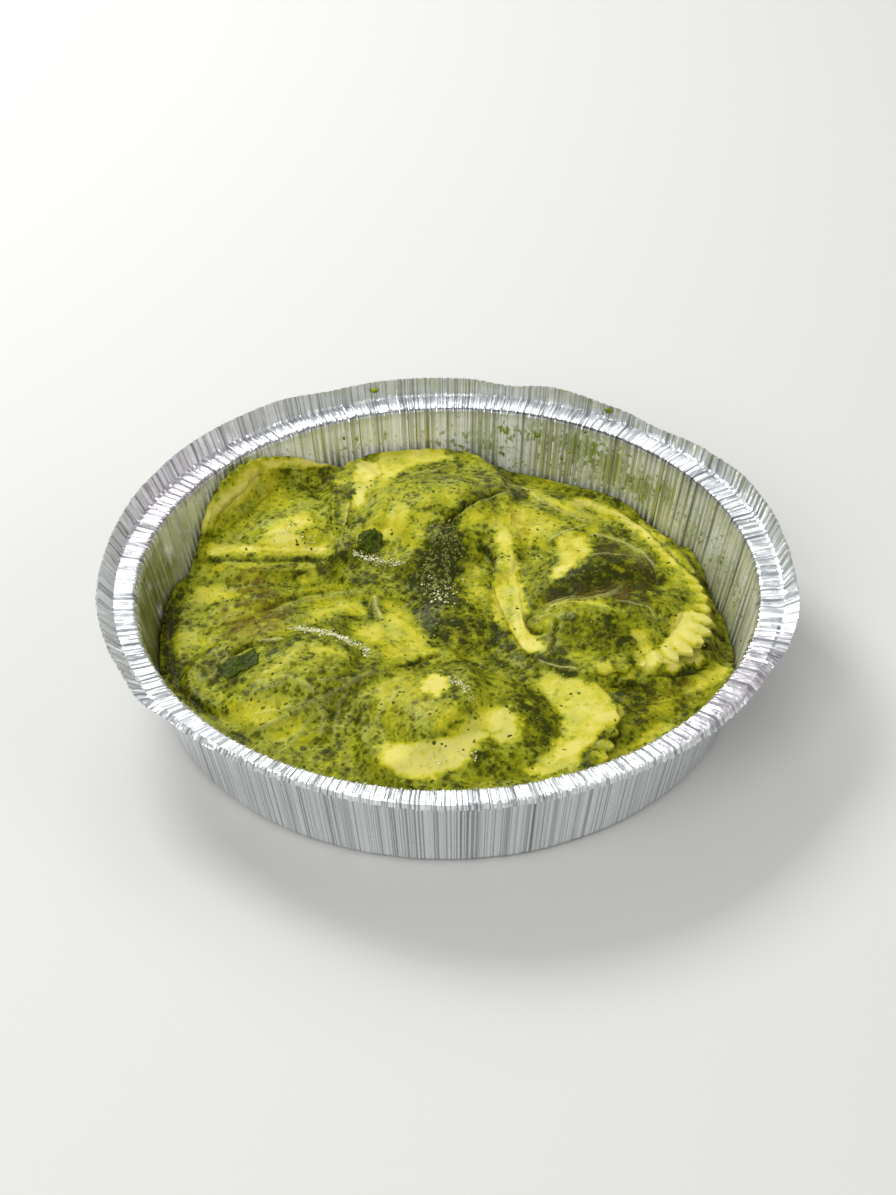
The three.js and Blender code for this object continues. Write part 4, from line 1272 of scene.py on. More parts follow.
def shore_heights(gx, gy, heights):
    """Outside the food, a level well below its edge, so that a dark gap stays there."""
    r = np.hypot(gx, gy)
    bearing = bearing_of(gx, gy)
    sector = (bearing / (360 // SHORE_SECTORS)).astype(int) % SHORE_SECTORS
    band = (r > SHORE_BAND[0]) & (r < SHORE_BAND[1])
    edge = np.array([np.percentile(heights[band & (sector == k)], 75)
                     for k in range(SHORE_SECTORS)])
    edge = (edge + np.roll(edge, 1) + np.roll(edge, -1)) / 3
    level = edge[sector] - SHORE_DROP - 8 * bump(bearing, RIGHT_GAP, 24)
    level = np.minimum(level, SHORE_TOP)
    return np.where(r > SHORE_START, np.maximum(heights, level), heights)


grid_x, grid_y, food_top = food_heights()
filled = press(press(shore_heights(grid_x, grid_y, food_top), 1), -1)
print("deepest fill, mm:", round(float((filled - food_top).max()), 1))

# %% [markdown]
# The pesto itself is one closed body. Its top is the same wrapped grid as the ravioli,
# taken from the rolled surface and set a hair below it, so that bare pillows stand
# through. In the valleys it is heaped with grains of nut and cheese.

# %% Pesto pool
POOL_GRID = 290
POOL_BOTTOM = CAD_FOIL + GAP
WALL_GAP = 0.7
SINK = 0.3
# Radius and height of the rings that close the pool below.
POOL_RINGS = [
    (BASE_RADIUS - 0.5, BASE_CORNER + 1.0), (BASE_RADIUS - BASE_CORNER - 1, POOL_BOTTOM),
    (40, POOL_BOTTOM),
]


def look_up(values, x, y):
    """Values of the grid between its crossings."""
    fx, fy = (x + REACH) / CELL, (y + REACH) / CELL
    ix = np.clip(np.floor(fx).astype(int), 0, len(values) - 2)
    iy = np.clip(np.floor(fy).astype(int), 0, len(values) - 2)
    u, v = fx - ix, fy - iy
    low = values[ix, iy] * (1 - u) + values[ix + 1, iy] * u
    high = values[ix, iy + 1] * (1 - u) + values[ix + 1, iy + 1] * u
    return low * (1 - v) + high * v


def build_pool():
    share, angle, rim, quads = square_grid(POOL_GRID)
    edge_radius = wall_radius(17.0) - WALL_GAP
    x, y = share * edge_radius * np.cos(angle), share * edge_radius * np.sin(angle)
    z = look_up(filled, x, y) - SINK
    base = pool_height(x, y)
    px, py = on_plan(np.stack([x, y, z], axis=1))
    clear = spots(px, py, CLEAR_EDGES, 0.5)
    z = z - clear * np.clip(z - base - 0.5, 0, 5.0)
    limit = wall_radius(z) - WALL_GAP
    r = np.hypot(x, y)
    keep = np.where(r > limit, limit / np.maximum(r, 1e-6), 1)
    x, y = x * keep, y * keep
    top = np.stack([x, y, z], axis=1)
    marks, rise = food_marks(top)
    free = ease((z + SINK - look_up(food_top, x, y)) / 1.0)
    lumps = 0.16 * rough(x, y, 4.0, 300) + 0.1 * noise(x, y, 1.5, 301)
    lumps = lumps + marks["crumbs"] * (0.5 * noise(x, y, 2.2, 302) + 0.35 * noise(x, y, 1.3, 303))
    top[:, 2] += lumps * (0.3 + 0.7 * free) * (1 - ease((share - 0.97) / 0.03))
    top[:, 2] += np.minimum(rise, 0) + np.maximum(rise, 0) * free
    rings = [ring_at(radius, angle[rim], height) for radius, height in POOL_RINGS]
    low = np.concatenate([*rings, [[0, 0, POOL_BOTTOM]]])
    faces = [quads, *closed_below(rim, len(top), len(rings))]
    marks = with_low_marks(marks, low)
    pool = make_piece("pesto_pool_visual", np.concatenate([top, low]), faces, marks)
    ready(pool, "pesto_pool")
    return pool


pesto_pool = build_pool()

# %% [markdown]
# ## Torn basil
#
# Two torn scraps of leaf lie on the food, dark and limp from the oil. Each is a thin
# closed leaf with a curl and a rib that follows the rolled surface of the food.

# %% Basil leaves
LEAVES = {
    "basil_left": dict(x=-62, y=-22, a=6.4, b=4.6, turn=20),
    "basil_centre": dict(x=-24, y=36, a=4.3, b=3.1, turn=-20),
}
LEAF_HALF = 0.1
LEAF_LIFT = 0.16
LEAF_SPOKES = 64
LEAF_SHARES = np.linspace(1, 0, 11)[:-1]


def build_leaf(name):
    leaf = LEAVES[name]
    angle = np.arange(LEAF_SPOKES) / LEAF_SPOKES * TURN
    turn = math.radians(leaf["turn"])
    ragged = 1 + 0.22 * noise(9 * np.cos(angle), 9 * np.sin(angle), 3.0, int(leaf["a"]))
    ragged = ragged - 0.09 * np.cos(4 * angle)

    def face(share, side):
        pointed = 1 - 0.15 * np.cos(2 * angle) * share
        u = share * leaf["a"] * np.cos(angle) * ragged
        v = share * leaf["b"] * np.sin(angle) * pointed * ragged
        x = leaf["x"] + u * math.cos(turn) - v * math.sin(turn)
        y = leaf["y"] + u * math.sin(turn) + v * math.cos(turn)
        on = np.maximum(look_up(food_top, x, y), look_up(filled, x, y) - SINK)
        curl = 0.2 * share**2 * np.sin(3 * angle) + 0.15 * noise(x, y, 3.0, 9)
        rib = -0.12 * np.exp(-((v / 0.6) ** 2))
        thin = LEAF_HALF * (1 - 0.7 * share**4)
        return np.stack([x, y, on + LEAF_LIFT + curl + rib + side * thin], axis=1)

    under = [face(share, -1) for share in LEAF_SHARES[::-1]]
    over = [face(share, 1) for share in LEAF_SHARES]
    stack = under + over
    poles = np.stack([face(0, -1).mean(axis=0), face(0, 1).mean(axis=0)])
    faces = stacked(0, LEAF_SPOKES, len(stack))
    made = make_piece(name + "_visual", np.concatenate(stack + [poles]), faces)
    ready(made, name)
    return made


leaves = {name: build_leaf(name) for name in LEAVES}

# %% [markdown]
# ## Finishes: the pesto coat
#
# The same oily, speckled coat covers dough and pool, so it is one shader group. It takes
# the marks from the mesh and returns colours and masks: a soft mottling of a few
# millimetres, a finer grain, and dark specks of basil that thin out where the dough is
# bare. The shader itself stays in each material.

# %% Shader group for the pesto coat
COAT_MARKS = ("Pesto", "Dark", "Brown", "Crumbs", "Ridge_highlight")
# The swirl that bends the specks: size of its features and its push, in millimetres.
SWIRL_SIZE = 1.3
SWIRL_PUSH = 1.6


def new_group(name, inputs, outputs):
    """An empty shader group with named sockets; its inputs are numbers."""
    group = bpy.data.node_groups.new(name, "ShaderNodeTree")
    for label in inputs:
        group.interface.new_socket(label, in_out="INPUT", socket_type="NodeSocketFloat")
    for label, kind in outputs:
        group.interface.new_socket(label, in_out="OUTPUT", socket_type=kind)
    return group, group.nodes.new("NodeGroupInput"), group.nodes.new("NodeGroupOutput")


def feed(tree, socket, value):
    """Give a socket a fixed value, or link it to another node's socket."""
    if isinstance(value, (int, float, tuple)):
        socket.default_value = value
    else:
        tree.links.new(value, socket)


def object_place(tree):
    """The place of each point of the piece, in metres."""
    return tree.nodes.new("ShaderNodeTexCoord").outputs["Object"]


def vector_node(tree, operation, *vectors):
    node = tree.nodes.new("ShaderNodeVectorMath")
    node.operation = operation
    for socket, vector in zip(node.inputs, vectors):
        feed(tree, socket, vector)
    return node.outputs["Vector"]


def math_node(tree, operation, a, b, clamp=False):
    node = tree.nodes.new("ShaderNodeMath")
    node.operation = operation
    node.use_clamp = clamp
    feed(tree, node.inputs[0], a)
    feed(tree, node.inputs[1], b)
    return node.outputs[0]


def times(tree, a, b, clamp=False):
    return math_node(tree, "MULTIPLY", a, b, clamp)


def plus(tree, a, b, clamp=False):
    return math_node(tree, "ADD", a, b, clamp)


def step_node(tree, value, low, high):
    """0 below low and 1 above high, eased between."""
    node = tree.nodes.new("ShaderNodeMapRange")
    node.interpolation_type = "SMOOTHSTEP"
    node.inputs["From Min"].default_value = low
    node.inputs["From Max"].default_value = high
    tree.links.new(value, node.inputs["Value"])
    return node.outputs["Result"]


def mix_node(tree, factor, a, b):
    """A colour between a and b."""
    node = tree.nodes.new("ShaderNodeMix")
    node.data_type = "RGBA"
    for index, value in ((0, factor), (6, a), (7, b)):
        feed(tree, node.inputs[index], value)
    return node.outputs[2]


def noise_node(tree, vector, size, detail=3.0, roughness=0.5):
    """Noise with features of a size in millimetres, from 0 to 1."""
    node = tree.nodes.new("ShaderNodeTexNoise")
    node.inputs["Scale"].default_value = 1 / (size * MM)
    node.inputs["Detail"].default_value = detail
    node.inputs["Roughness"].default_value = roughness
    tree.links.new(vector, node.inputs["Vector"])
    return node.outputs["Fac"]


def speck_node(tree, vector, size, radius):
    """Round specks in cells of a size in millimetres: 1 inside, 0 outside."""
    cells = tree.nodes.new("ShaderNodeTexVoronoi")
    cells.inputs["Scale"].default_value = 1 / (size * MM)
    tree.links.new(vector, cells.inputs["Vector"])
    inside = math_node(tree, "SUBTRACT", radius, cells.outputs["Distance"])
    return step_node(tree, inside, -0.16, 0.2)


def ramp_node(tree, value, stops):
    """Colours along a value, given as pairs of place and colour."""
    node = tree.nodes.new("ShaderNodeValToRGB")
    ramp = node.color_ramp
    while len(ramp.elements) < len(stops):
        ramp.elements.new(0.5)
    for element, (place, color) in zip(ramp.elements, stops):
        element.position = place
        element.color = color
    tree.links.new(value, node.inputs["Fac"])
    return node.outputs["Color"]


def add_scaled(tree, value, noise_value, amount):
    """value plus the noise about its middle, times an amount."""
    centred = math_node(tree, "SUBTRACT", noise_value, 0.5)
    return plus(tree, value, times(tree, centred, amount))


def swirled(tree, place):
    """The place pushed about by a fine swirl, so that specks aren't quite round."""
    swirl = tree.nodes.new("ShaderNodeTexNoise")
    swirl.inputs["Scale"].default_value = 1 / (SWIRL_SIZE * MM)
    tree.links.new(place, swirl.inputs["Vector"])
    push = SWIRL_PUSH * MM
    return vector_node(tree, "MULTIPLY_ADD", swirl.outputs["Color"], (push, push, push), place)


def coat_specks(tree, mark, bent, cloud):
    """Large and small specks of basil, fewer where the dough is bare."""
    loose = plus(tree, times(tree, mark["Pesto"], 0.34), 0.12)
    loose = add_scaled(tree, loose, cloud, 0.5)
    large = speck_node(tree, bent, 3.6, loose)
    small = speck_node(tree, bent, 1.8, loose)
    return math_node(tree, "MAXIMUM", large, times(tree, small, 0.75))


def coat_thickness(tree, mark, specks, cloud, blotch, grain):
    """How thick the pesto looks: the mark, mottled most where there is most pesto, and deeper where the
    dark mark paints shade.
    """
    mottle = times(tree, math_node(tree, "SUBTRACT", cloud, 0.5), 0.5)
    mottle = add_scaled(tree, mottle, blotch, 0.75)
    mottle = add_scaled(tree, mottle, grain, 0.45)
    spread = plus(tree, times(tree, mark["Pesto"], 1.7), 0.12, clamp=True)
    thick = plus(tree, mark["Pesto"], times(tree, mottle, spread))
    thick = plus(tree, thick, times(tree, specks, 0.34))
    return plus(tree, thick, times(tree, mark["Dark"], 0.35))


def coat_color(tree, mark, thick, bent, cloud, blotch, grain):
    """Oil, pesto and herbs by thickness; then painted sheen, brown, painted shade with dark wet pesto, nuts
    and painted highlight.
    """
    color = ramp_node(tree, thick, COAT_COLORS)
    thin = math_node(tree, "SUBTRACT", 1.0, step_node(tree, thick, 0.4, 0.75))
    # A painted sheen: pale milky clouds on thin pesto stand for soft reflection on the oil.
    painted_sheen = times(tree, times(tree, step_node(tree, cloud, 0.45, 0.7), 0.45), thin)
    color = mix_node(tree, painted_sheen, color, MILKY_SHEEN)
    toasted = times(tree, mark["Brown"], step_node(tree, blotch, 0.35, 0.65))
    color = mix_node(tree, times(tree, toasted, 0.55), color, TOASTED)
    patchy = times(tree, grain, plus(tree, blotch, 0.45))
    # Painted shade with dark wet pesto: the dark mark turns the colour to the hollow's dark olive.
    wet_and_shade = times(tree, mark["Dark"], step_node(tree, patchy, 0.34, 0.6))
    color = mix_node(tree, times(tree, wet_and_shade, 0.7), color, HOLLOW)
    crumbly = times(tree, mark["Crumbs"], step_node(tree, grain, 0.35, 0.75))
    nuts = speck_node(tree, bent, 1.9, crumbly)
    color = mix_node(tree, times(tree, nuts, 0.42), color, NUTS)
    # Painted highlight on the crests of folds and wrinkles.
    return mix_node(tree, times(tree, mark["Ridge_highlight"], 0.62), color, CREST_HIGHLIGHT)


def coat_group():
    """Marks of the mesh in; colour, roughness and height out."""
    tree, into, out = new_group(
        "pesto_coat", COAT_MARKS,
        [("Color", "NodeSocketColor"), ("Roughness", "NodeSocketFloat"),
         ("Height", "NodeSocketFloat")])
    mark = into.outputs
    place = object_place(tree)
    bent = swirled(tree, place)
    cloud = noise_node(tree, place, 9.0, 3.0, 0.55)
    blotch = noise_node(tree, place, 3.2, 3.0, 0.6)
    grain = noise_node(tree, place, 1.1, 2.0, 0.6)
    fine = noise_node(tree, place, 0.45, 2.0, 0.5)
    specks = coat_specks(tree, mark, bent, cloud)
    thick = coat_thickness(tree, mark, specks, cloud, blotch, grain)
    color = coat_color(tree, mark, thick, bent, cloud, blotch, grain)
    tree.links.new(color, out.inputs["Color"])
    tree.links.new(plus(tree, times(tree, grain, 0.35), 0.22), out.inputs["Roughness"])
    height = times(tree, plus(tree, grain, fine), 0.6)
    height = times(tree, height, plus(tree, thick, 0.15))
    height = plus(tree, height, times(tree, specks, 0.3))
    tree.links.new(height, out.inputs["Height"])
    return tree


def linear(red, green, blue):
    """A colour given as it is seen on screen, from 0 to 255, as the shader wants it."""
    def one(value):
        value = value / 255
        return value / 12.92 if value <= 0.04045 else ((value + 0.055) / 1.055) ** 2.4
    return (one(red), one(green), one(blue), 1.0)


# From bare dough through oily yellow and moss green to the dark of chopped leaf.
COAT_COLORS = [
    (0.0, linear(210, 201, 104)), (0.12, linear(198, 190, 68)), (0.28, linear(178, 173, 34)),
    (0.44, linear(150, 152, 26)), (0.62, linear(120, 124, 10)), (0.8, linear(88, 93, 0)),
    (1.0, linear(50, 56, 0)),
]
# Milky: the colour of a painted sheen.
MILKY_SHEEN = linear(164, 172, 84)
TOASTED = linear(128, 98, 16)
# Hollow: the dark olive of painted shade and of thick dark pesto.
HOLLOW = linear(44, 42, 4)
NUTS = linear(160, 164, 84)
# Crest: the colour of a painted highlight.
CREST_HIGHLIGHT = linear(192, 190, 118)
COAT = coat_group()
print("group:", COAT.name, [s.name for s in COAT.interface.items_tree])

# %% [markdown]
# ## Finishes: dough, pool, leaf and foil
#
# Dough and pesto share the coat. Both are wet, so they get a thin clear layer, and the
# dough lets a little light through. The leaf is darker and veined.

# %% Materials of the food


def attribute(tree, name):
    node = tree.nodes.new("ShaderNodeAttribute")
    node.attribute_name = name
    return node.outputs["Fac"]


def bump_node(tree, height, distance, strength=1.0):
    node = tree.nodes.new("ShaderNodeBump")
    node.inputs["Distance"].default_value = distance * MM
    node.inputs["Strength"].default_value = strength
    tree.links.new(height, node.inputs["Height"])
    return node.outputs["Normal"]


def coated_material(name, bump_size, through):
    """A wet material with the pesto coat."""
    material, tree, shader = plain_material(name, MILKY_SHEEN, 0.35)
    coat = tree.nodes.new("ShaderNodeGroup")
    coat.node_tree = COAT
    for label in COAT_MARKS:
        tree.links.new(attribute(tree, label.lower()), coat.inputs[label])
    tree.links.new(coat.outputs["Color"], shader.inputs["Base Color"])
    tree.links.new(coat.outputs["Roughness"], shader.inputs["Roughness"])
    tree.links.new(bump_node(tree, coat.outputs["Height"], bump_size), shader.inputs["Normal"])
    shader.inputs["Specular IOR Level"].default_value = 0.06
    shader.inputs["Coat Weight"].default_value = 0.05
    shader.inputs["Coat Roughness"].default_value = 0.1
    shader.inputs["Subsurface Weight"].default_value = through
    shader.inputs["Subsurface Radius"].default_value = (0.004, 0.003, 0.001)
    shader.inputs["Subsurface Scale"].default_value = 0.5
    return material


dough_material = coated_material("pesto_on_dough", 0.35, 0.1)
pool_material = coated_material("pesto_between", 0.45, 0.0)
for raviolo in ravioli.values():
    raviolo.data.materials.append(dough_material)
pesto_pool.data.materials.append(pool_material)


def leaf_material():
    material, tree, shader = plain_material("basil_leaf", linear(50, 66, 6), 0.5)
    place = object_place(tree)
    veins = noise_node(tree, place, 1.2, 3.0, 0.6)
    color = mix_node(tree, step_node(tree, veins, 0.35, 0.7), linear(34, 44, 0), linear(74, 88, 6))
    tree.links.new(color, shader.inputs["Base Color"])
    tree.links.new(bump_node(tree, veins, 0.25), shader.inputs["Normal"])
    shader.inputs["Specular IOR Level"].default_value = 0.08
    return material


basil_material = leaf_material()
for leaf_piece in leaves.values():
    leaf_piece.data.materials.append(basil_material)
print("food materials:", dough_material.name, pool_material.name, basil_material.name)

# %% [markdown]
# ### Foil
#
# Foil is a mirror broken into small facets. The pleats of the mesh give the wide ones, and
# noise drawn out along the section adds the fine creases between them, as bumps and as
# painted shade along each crease. Inside, a thin film of oil is pale olive, a thick one
# dark, and it makes the metal dull; the same olive also paints the food's reflection and
# the shade on the left wall.

# %% Material of the foil


def round_the_pan(tree, place):
    """The same place at one fixed radius, so that noise makes lines up the wall."""
    outward = vector_node(tree, "NORMALIZE", vector_node(tree, "MULTIPLY", place, (1, 1, 0)))
    radius = FLANGE_INNER * MM
    return vector_node(tree, "MULTIPLY", outward, (radius, radius, radius))


def foil_material():
    material, tree, shader = plain_material("crimped_foil", linear(226, 228, 230), 0.26)
    place = object_place(tree)
    film_and_reflection, purple_tint, within = (attribute(tree, mark) for mark in ("film_and_reflection", "purple_tint", "inside"))
    cloud = noise_node(tree, place, 7.0, 3.0, 0.5)
    streaks = noise_node(tree, round_the_pan(tree, place), 0.6, 2.0, 0.6)
    # The creases are painted shade: along them the colour turns from the lit tone to the shadow tone.
    crease_shade = step_node(tree, streaks, 0.36, 0.56)
    shadow = mix_node(tree, within, linear(168, 172, 174), linear(226, 229, 230))
    lit_foil = mix_node(tree, within, linear(240, 243, 245), linear(255, 255, 255))
    bright = mix_node(tree, crease_shade, shadow, lit_foil)
    tinted = mix_node(tree, times(tree, purple_tint, 0.5), bright, linear(176, 146, 170))
    # Olive from real oily film, and from the painted reflection of the food and painted shade.
    thick = times(tree, film_and_reflection, step_node(tree, cloud, 0.15, 0.5))
    deep = plus(tree, film_and_reflection, times(tree, cloud, -0.3), clamp=True)
    olive = mix_node(tree, deep, linear(200, 206, 124), linear(78, 80, 0))
    color = mix_node(tree, times(tree, thick, 1.25, clamp=True), tinted, olive)
    spatter = noise_node(tree, place, 1.7, 3.0, 0.6)
    spatter = plus(tree, spatter, times(tree, attribute(tree, "splash"), 0.5))
    wet_and_shade = times(tree, step_node(tree, spatter, 0.58, 0.74), within)
    color = mix_node(tree, wet_and_shade, color, linear(140, 154, 44))
    # The seam is painted shade: a dark grey along the fold between wall and flange.
    color = mix_node(tree, attribute(tree, "seam_shade"), color, linear(60, 62, 60))
    tree.links.new(color, shader.inputs["Base Color"])
    metal = math_node(tree, "SUBTRACT", 1.0, times(tree, thick, 0.35))
    metal = math_node(tree, "SUBTRACT", metal, times(tree, within, 0.45))
    tree.links.new(metal, shader.inputs["Metallic"])
    fine = noise_node(tree, place, 1.6, 3.0, 0.6)
    dull = plus(tree, times(tree, fine, 0.16), 0.22)
    dull = plus(tree, dull, times(tree, film_and_reflection, 0.12))
    dull = plus(tree, dull, times(tree, within, 0.2))
    tree.links.new(dull, shader.inputs["Roughness"])
    relief = plus(tree, times(tree, streaks, 2.0), fine)
    tree.links.new(bump_node(tree, relief, 0.12), shader.inputs["Normal"])
    return material


foil = foil_material()
foil_pan.data.materials.append(foil)
print("foil material:", foil.name)

# %% [markdown]
# ## Flecks that stand up
#
# The coat's colour alone looks flat, so chopped basil, ground nuts and crumbs of cheese
# are strewn over the food as real bits. Geometry Nodes does this well: it scatters points
# over a surface by a density kept on it, sets a small flattened ball on each, and turns
# and scales it. The host is a thin skin laid over food and pesto together, used only here.

# %% Geometry Nodes tree that strews bits
MOST_LEAN = 0.5


def random_turn(tree, rotation):
    """Each bit's rotation on the surface, with a random turn and a small lean."""
    new, link = tree.nodes.new, tree.links.new
    lean = new("FunctionNodeRandomValue")
    lean.data_type = "FLOAT_VECTOR"
    lean.inputs[0].default_value = (-MOST_LEAN, -MOST_LEAN, 0.0)
    lean.inputs[1].default_value = (MOST_LEAN, MOST_LEAN, TURN)
    turned = new("FunctionNodeEulerToRotation")
    link(lean.outputs[0], turned.inputs[0])
    both = new("FunctionNodeRotateRotation")
    both.rotation_space = "LOCAL"
    link(rotation, both.inputs[0])
    link(turned.outputs[0], both.inputs[1])
    return both.outputs[0]


def strew_tree():
    """Bits on a surface; its inputs are the mark, the density, the sizes and the seed."""
    tree = bpy.data.node_groups.new("strew_bits", "GeometryNodeTree")
    for label, kind in (("Geometry", "Geometry"), ("Mark", "String"), ("Density", "Float"),
                        ("Smallest", "Vector"), ("Largest", "Vector"), ("Seed", "Int"),
                        ("Material", "Material")):
        tree.interface.new_socket(label, in_out="INPUT", socket_type="NodeSocket" + kind)
    tree.interface.new_socket("Geometry", in_out="OUTPUT", socket_type="NodeSocketGeometry")
    new, link = tree.nodes.new, tree.links.new
    into, out = new("NodeGroupInput"), new("NodeGroupOutput")
    mark = new("GeometryNodeInputNamedAttribute")
    link(into.outputs["Mark"], mark.inputs["Name"])
    density = new("ShaderNodeMath")
    density.operation = "MULTIPLY"
    link(mark.outputs["Attribute"], density.inputs[0])
    link(into.outputs["Density"], density.inputs[1])
    points = new("GeometryNodeDistributePointsOnFaces")
    link(into.outputs["Geometry"], points.inputs["Mesh"])
    link(density.outputs[0], points.inputs["Density"])
    link(into.outputs["Seed"], points.inputs["Seed"])
    bit = new("GeometryNodeMeshIcoSphere")
    bit.inputs["Radius"].default_value = 1.0
    bit.inputs["Subdivisions"].default_value = 1
    size = new("FunctionNodeRandomValue")
    size.data_type = "FLOAT_VECTOR"
    link(into.outputs["Smallest"], size.inputs[0])
    link(into.outputs["Largest"], size.inputs[1])
    link(into.outputs["Seed"], size.inputs["Seed"])
    rotation = random_turn(tree, points.outputs["Rotation"])
    placed = new("GeometryNodeInstanceOnPoints")
    link(points.outputs["Points"], placed.inputs["Points"])
    link(bit.outputs["Mesh"], placed.inputs["Instance"])
    link(rotation, placed.inputs["Rotation"])
    link(size.outputs[0], placed.inputs["Scale"])
    real = new("GeometryNodeRealizeInstances")
    link(placed.outputs["Instances"], real.inputs["Geometry"])
    painted = new("GeometryNodeSetMaterial")
    link(real.outputs["Geometry"], painted.inputs["Geometry"])
    link(into.outputs["Material"], painted.inputs["Material"])
    link(painted.outputs["Geometry"], out.inputs["Geometry"])
    return tree


STREW = strew_tree()


def strew(name, host_mesh, slot, **settings):
    """Strew bits over a host mesh and keep them as one plain mesh."""
    host = bpy.data.objects.new(name + "_host", host_mesh)
    bpy.context.collection.objects.link(host)
    modifier = host.modifiers.new("strew", "NODES")
    modifier.node_group = STREW
    sockets = {item.name: item.identifier for item in STREW.interface.items_tree
               if item.in_out == "INPUT"}
    for label, value in settings.items():
        modifier[sockets[label]] = value
    graph = bpy.context.evaluated_depsgraph_get()
    mesh = bpy.data.meshes.new_from_object(host.evaluated_get(graph))
    bpy.data.objects.remove(host)
    mesh.name = name
    mesh.polygons.foreach_set("use_smooth", np.ones(len(mesh.polygons), bool))
    bits = bpy.data.objects.new(name, mesh)
    bpy.context.collection.objects.link(bits)
    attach(bits, "root")
    print(f"{name}: {len(mesh.polygons)} faces")


print("inputs of strew_bits:", [s.name for s in STREW.interface.items_tree if s.in_out == "INPUT"])

# %% [markdown]
# The skin is the higher of the food and the pesto in each cell of the rolled grid. Leaf
# flecks follow the pesto, grains follow the crumbly spots, and pale froth lies on a few
# short arcs where the pesto was folded over. Its near white bits are also painted glints,
# and a few weak arcs are painted glints only.

# %% Flecks, grains and froth on the food
# Pale froth and cheese grains, painted near white as glints; the four weak arcs at the end are painted
# glints only.
# Strength, half width and path.
FROTH_AND_GLINTS = [
    (1.0, 1.0, [(-30, 33), (-26, 29.5), (-21, 27.5), (-16, 26), (-12, 27)]),
    (1.0, 0.9, [(-48, -4.5), (-42, -6.5), (-38, -7.6), (-34, -9.2), (-29, -12)]),
    (0.8, 1.1, [(-31, -11), (-27, -14), (-24, -17), (-25, -20)]),
    (0.35, 1.2, [(-1, -29), (2, -32), (5, -35), (6, -42)]),
    (0.14, 2.6, [(-52, 46), (-44, 42), (-44, 34)]),
    (0.12, 2.6, [(-8, -68), (2, -64), (10, -66)]),
    (0.1, 4.0, [(-8, 20), (-2, 14), (-4, 4)]),
]


def bit_material(name, dark, light, roughness):
    """Small bits, each of its own shade."""
    material, tree, shader = plain_material(name, dark, roughness)
    place = object_place(tree)
    shade = step_node(tree, noise_node(tree, place, 2.0, 1.0), 0.35, 0.65)
    tree.links.new(mix_node(tree, shade, dark, light), shader.inputs["Base Color"])
    shader.inputs["Specular IOR Level"].default_value = 0.15
    return material


def skin_mesh():
    """A sheet over food and pesto, with the densities of the bits."""
    clear = spots(grid_x, grid_y, CLEAR_EDGES, 0.5)
    pesto = filled - SINK - clear * np.clip(filled - pool_height(grid_x, grid_y), 0, 5)
    top = np.maximum(food_top, pesto)
    points = np.stack([grid_x, grid_y, top], axis=-1).reshape(-1, 3)
    inside = (np.hypot(grid_x, grid_y) < 84)[:-1, :-1]
    marks, _ = food_marks(points)
    px, py = on_plan(points)
    herbs = 0.15 + 0.85 * marks["pesto"] * ease(0.6 + noise(points[:, 0], points[:, 1], 9.0, 70))
    grains = marks["crumbs"] + 0.08 * marks["pesto"]
    froth_and_glints = sum(strength * stroke(px, py, path, half) for strength, half, path in FROTH_AND_GLINTS)
    marks = {"herbs": herbs, "grains": grains, "froth_and_glints": froth_and_glints}
    return sheet_mesh("skin", points, grid_quads(*top.shape)[inside], marks)


herb_material = bit_material("chopped_basil", linear(62, 70, 4), linear(104, 112, 14), 0.5)
grain_material = bit_material("ground_nuts", linear(110, 114, 30), linear(168, 168, 84), 0.5)
froth_and_glint_material = bit_material("pale_froth_and_glints", linear(176, 178, 112), linear(234, 234, 200), 0.25)
skin = skin_mesh()
strew("herb_flecks", skin, "basil", Mark="herbs", Density=80000.0, Seed=3,
      Smallest=(0.0003, 0.0002, 0.00006), Largest=(0.001, 0.0007, 0.00015),
      Material=herb_material)
strew("nut_grains", skin, "pesto", Mark="grains", Density=150000.0, Seed=5,
      Smallest=(0.0002, 0.0002, 0.00015), Largest=(0.00045, 0.0004, 0.00022),
      Material=grain_material)
strew("pale_froth_and_glints", skin, "pesto", Mark="froth_and_glints", Density=5000000.0, Seed=7,
      Smallest=(0.00015, 0.00012, 0.0001), Largest=(0.0005, 0.0004, 0.0003),
      Material=froth_and_glint_material)

# %% [markdown]
# ## Splashes on the foil
#
# When the food was tipped in, pesto spattered the wall behind it, and two crumbs stuck to
# the lip. The same tree strews the splashes on a patch that follows the wall, and each
# crumb is a small lump of its own.

# %% Splashes and crumbs on the foil
# The crumbs on the lip: bearing and share of the way up the lip.
LIP_CRUMBS = [(103.2, 0.62), (58.5, 0.7)]
CRUMB_SPOKES = 20
CRUMB_RINGS = 9


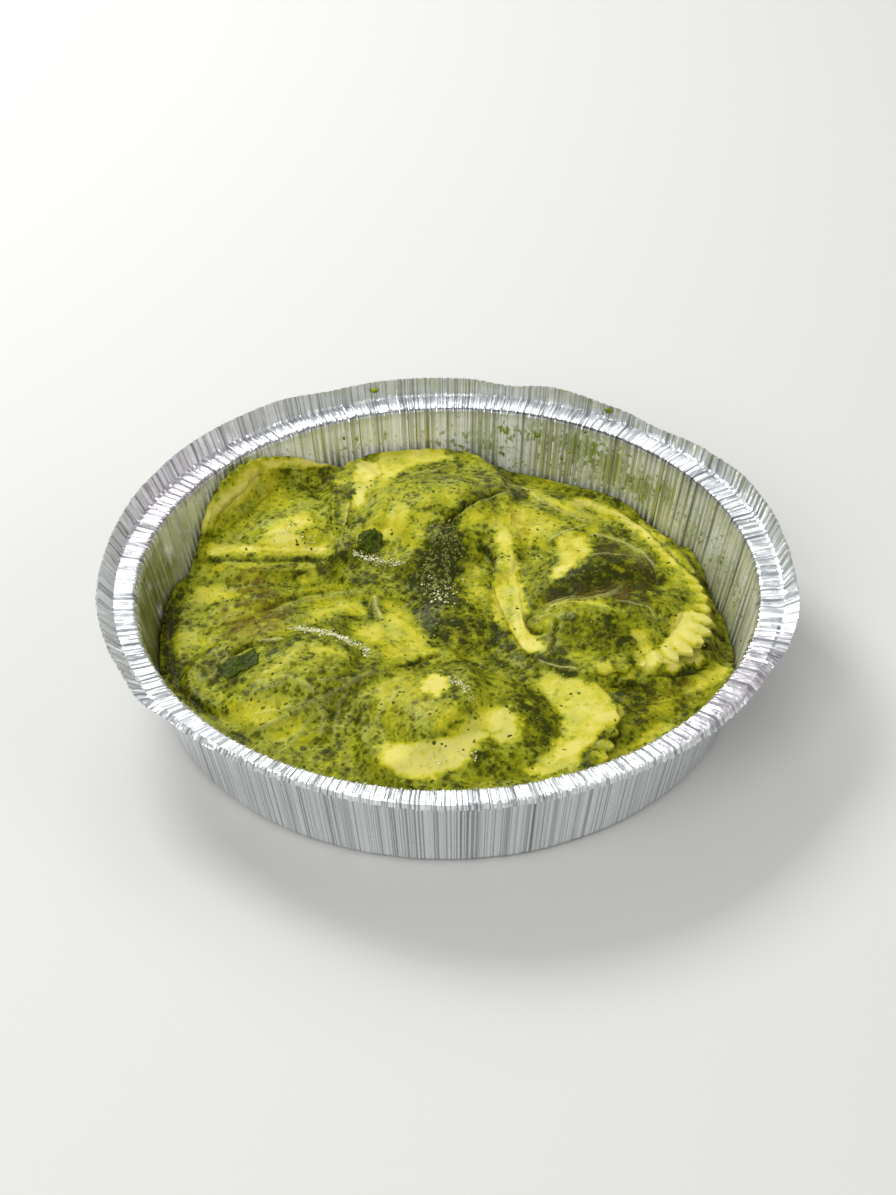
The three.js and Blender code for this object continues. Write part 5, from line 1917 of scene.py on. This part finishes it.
def wall_sheet():
    """A sheet just inside the wall, with the density of the splashes."""
    bearings, heights = np.linspace(-20, 140, 321), np.linspace(12, 33, 43)
    b, z = np.meshgrid(bearings, heights, indexing="ij")
    points = ring_at(wall_radius(z) - 0.1, np.radians(b), z).reshape(-1, 3)
    quads = np.roll(grid_quads(*b.shape)[..., ::-1], 1, axis=-1).reshape(-1, 4)
    density = splash_at(b, z) * ease(0.7 + 1.2 * noise(1.6 * b, z, 3.0, 90))
    return sheet_mesh("wall_sheet", points, quads, {"splash": density.ravel()})


splash_material = bit_material("pesto_splash", linear(92, 104, 16), linear(158, 166, 54), 0.35)
strew("wall_splashes", wall_sheet(), "pesto", Mark="splash", Density=100000.0, Seed=11,
      Smallest=(0.0002, 0.0002, 0.0001), Largest=(0.0011, 0.0009, 0.0003),
      Material=splash_material)


def lip_crumb(name, bearing, share):
    """A lump of pesto stuck to the inner face of the lip."""
    tilt, reach = lip_at(np.array([float(bearing)]))
    along = share * reach[0]
    way = math.radians(bearing)
    r = FLANGE_INNER + FLANGE_WIDTH + along * math.cos(tilt[0]) - 0.4
    z = FLANGE_HEIGHT + CAD_FOIL / 2 + along * math.sin(tilt[0])
    angle = np.arange(CRUMB_SPOKES) / CRUMB_SPOKES * TURN
    rings = []
    for lean in np.linspace(-1.25, 1.25, CRUMB_RINGS):
        lumpy = 1.0 + 0.3 * noise(3 * np.cos(angle), 3 * np.sin(angle) + 2 * lean, 1.5, 33)
        across = 1.3 * math.cos(lean) * lumpy
        rings.append(np.stack([across * np.cos(angle), 0.7 * across * np.sin(angle),
                               np.full(CRUMB_SPOKES, 0.9 * math.sin(lean))], axis=1))
    points = np.concatenate(rings + [[[0, 0, -0.9]], [[0, 0, 0.9]]])
    east = np.array([-math.sin(way), math.cos(way), 0])
    inward = np.array([-math.cos(way), -math.sin(way), 0])
    points = (points[:, :1] * east + points[:, 1:2] * inward + points[:, 2:] * [0, 0, 1]
              + np.array([r * math.cos(way), r * math.sin(way), z]))
    faces = [face[:, ::-1] for face in stacked(0, CRUMB_SPOKES, CRUMB_RINGS)]
    crumb = make_piece(name, points, faces)
    crumb.data.materials.append(splash_material)
    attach(crumb, "root")
    return crumb


lip_crumbs = [lip_crumb(f"lip_crumb_{k}", *LIP_CRUMBS[k]) for k in range(len(LIP_CRUMBS))]
print("lip crumbs:", len(lip_crumbs))

# %% [markdown]
# ## Finish

# %% Finish
print("finished")
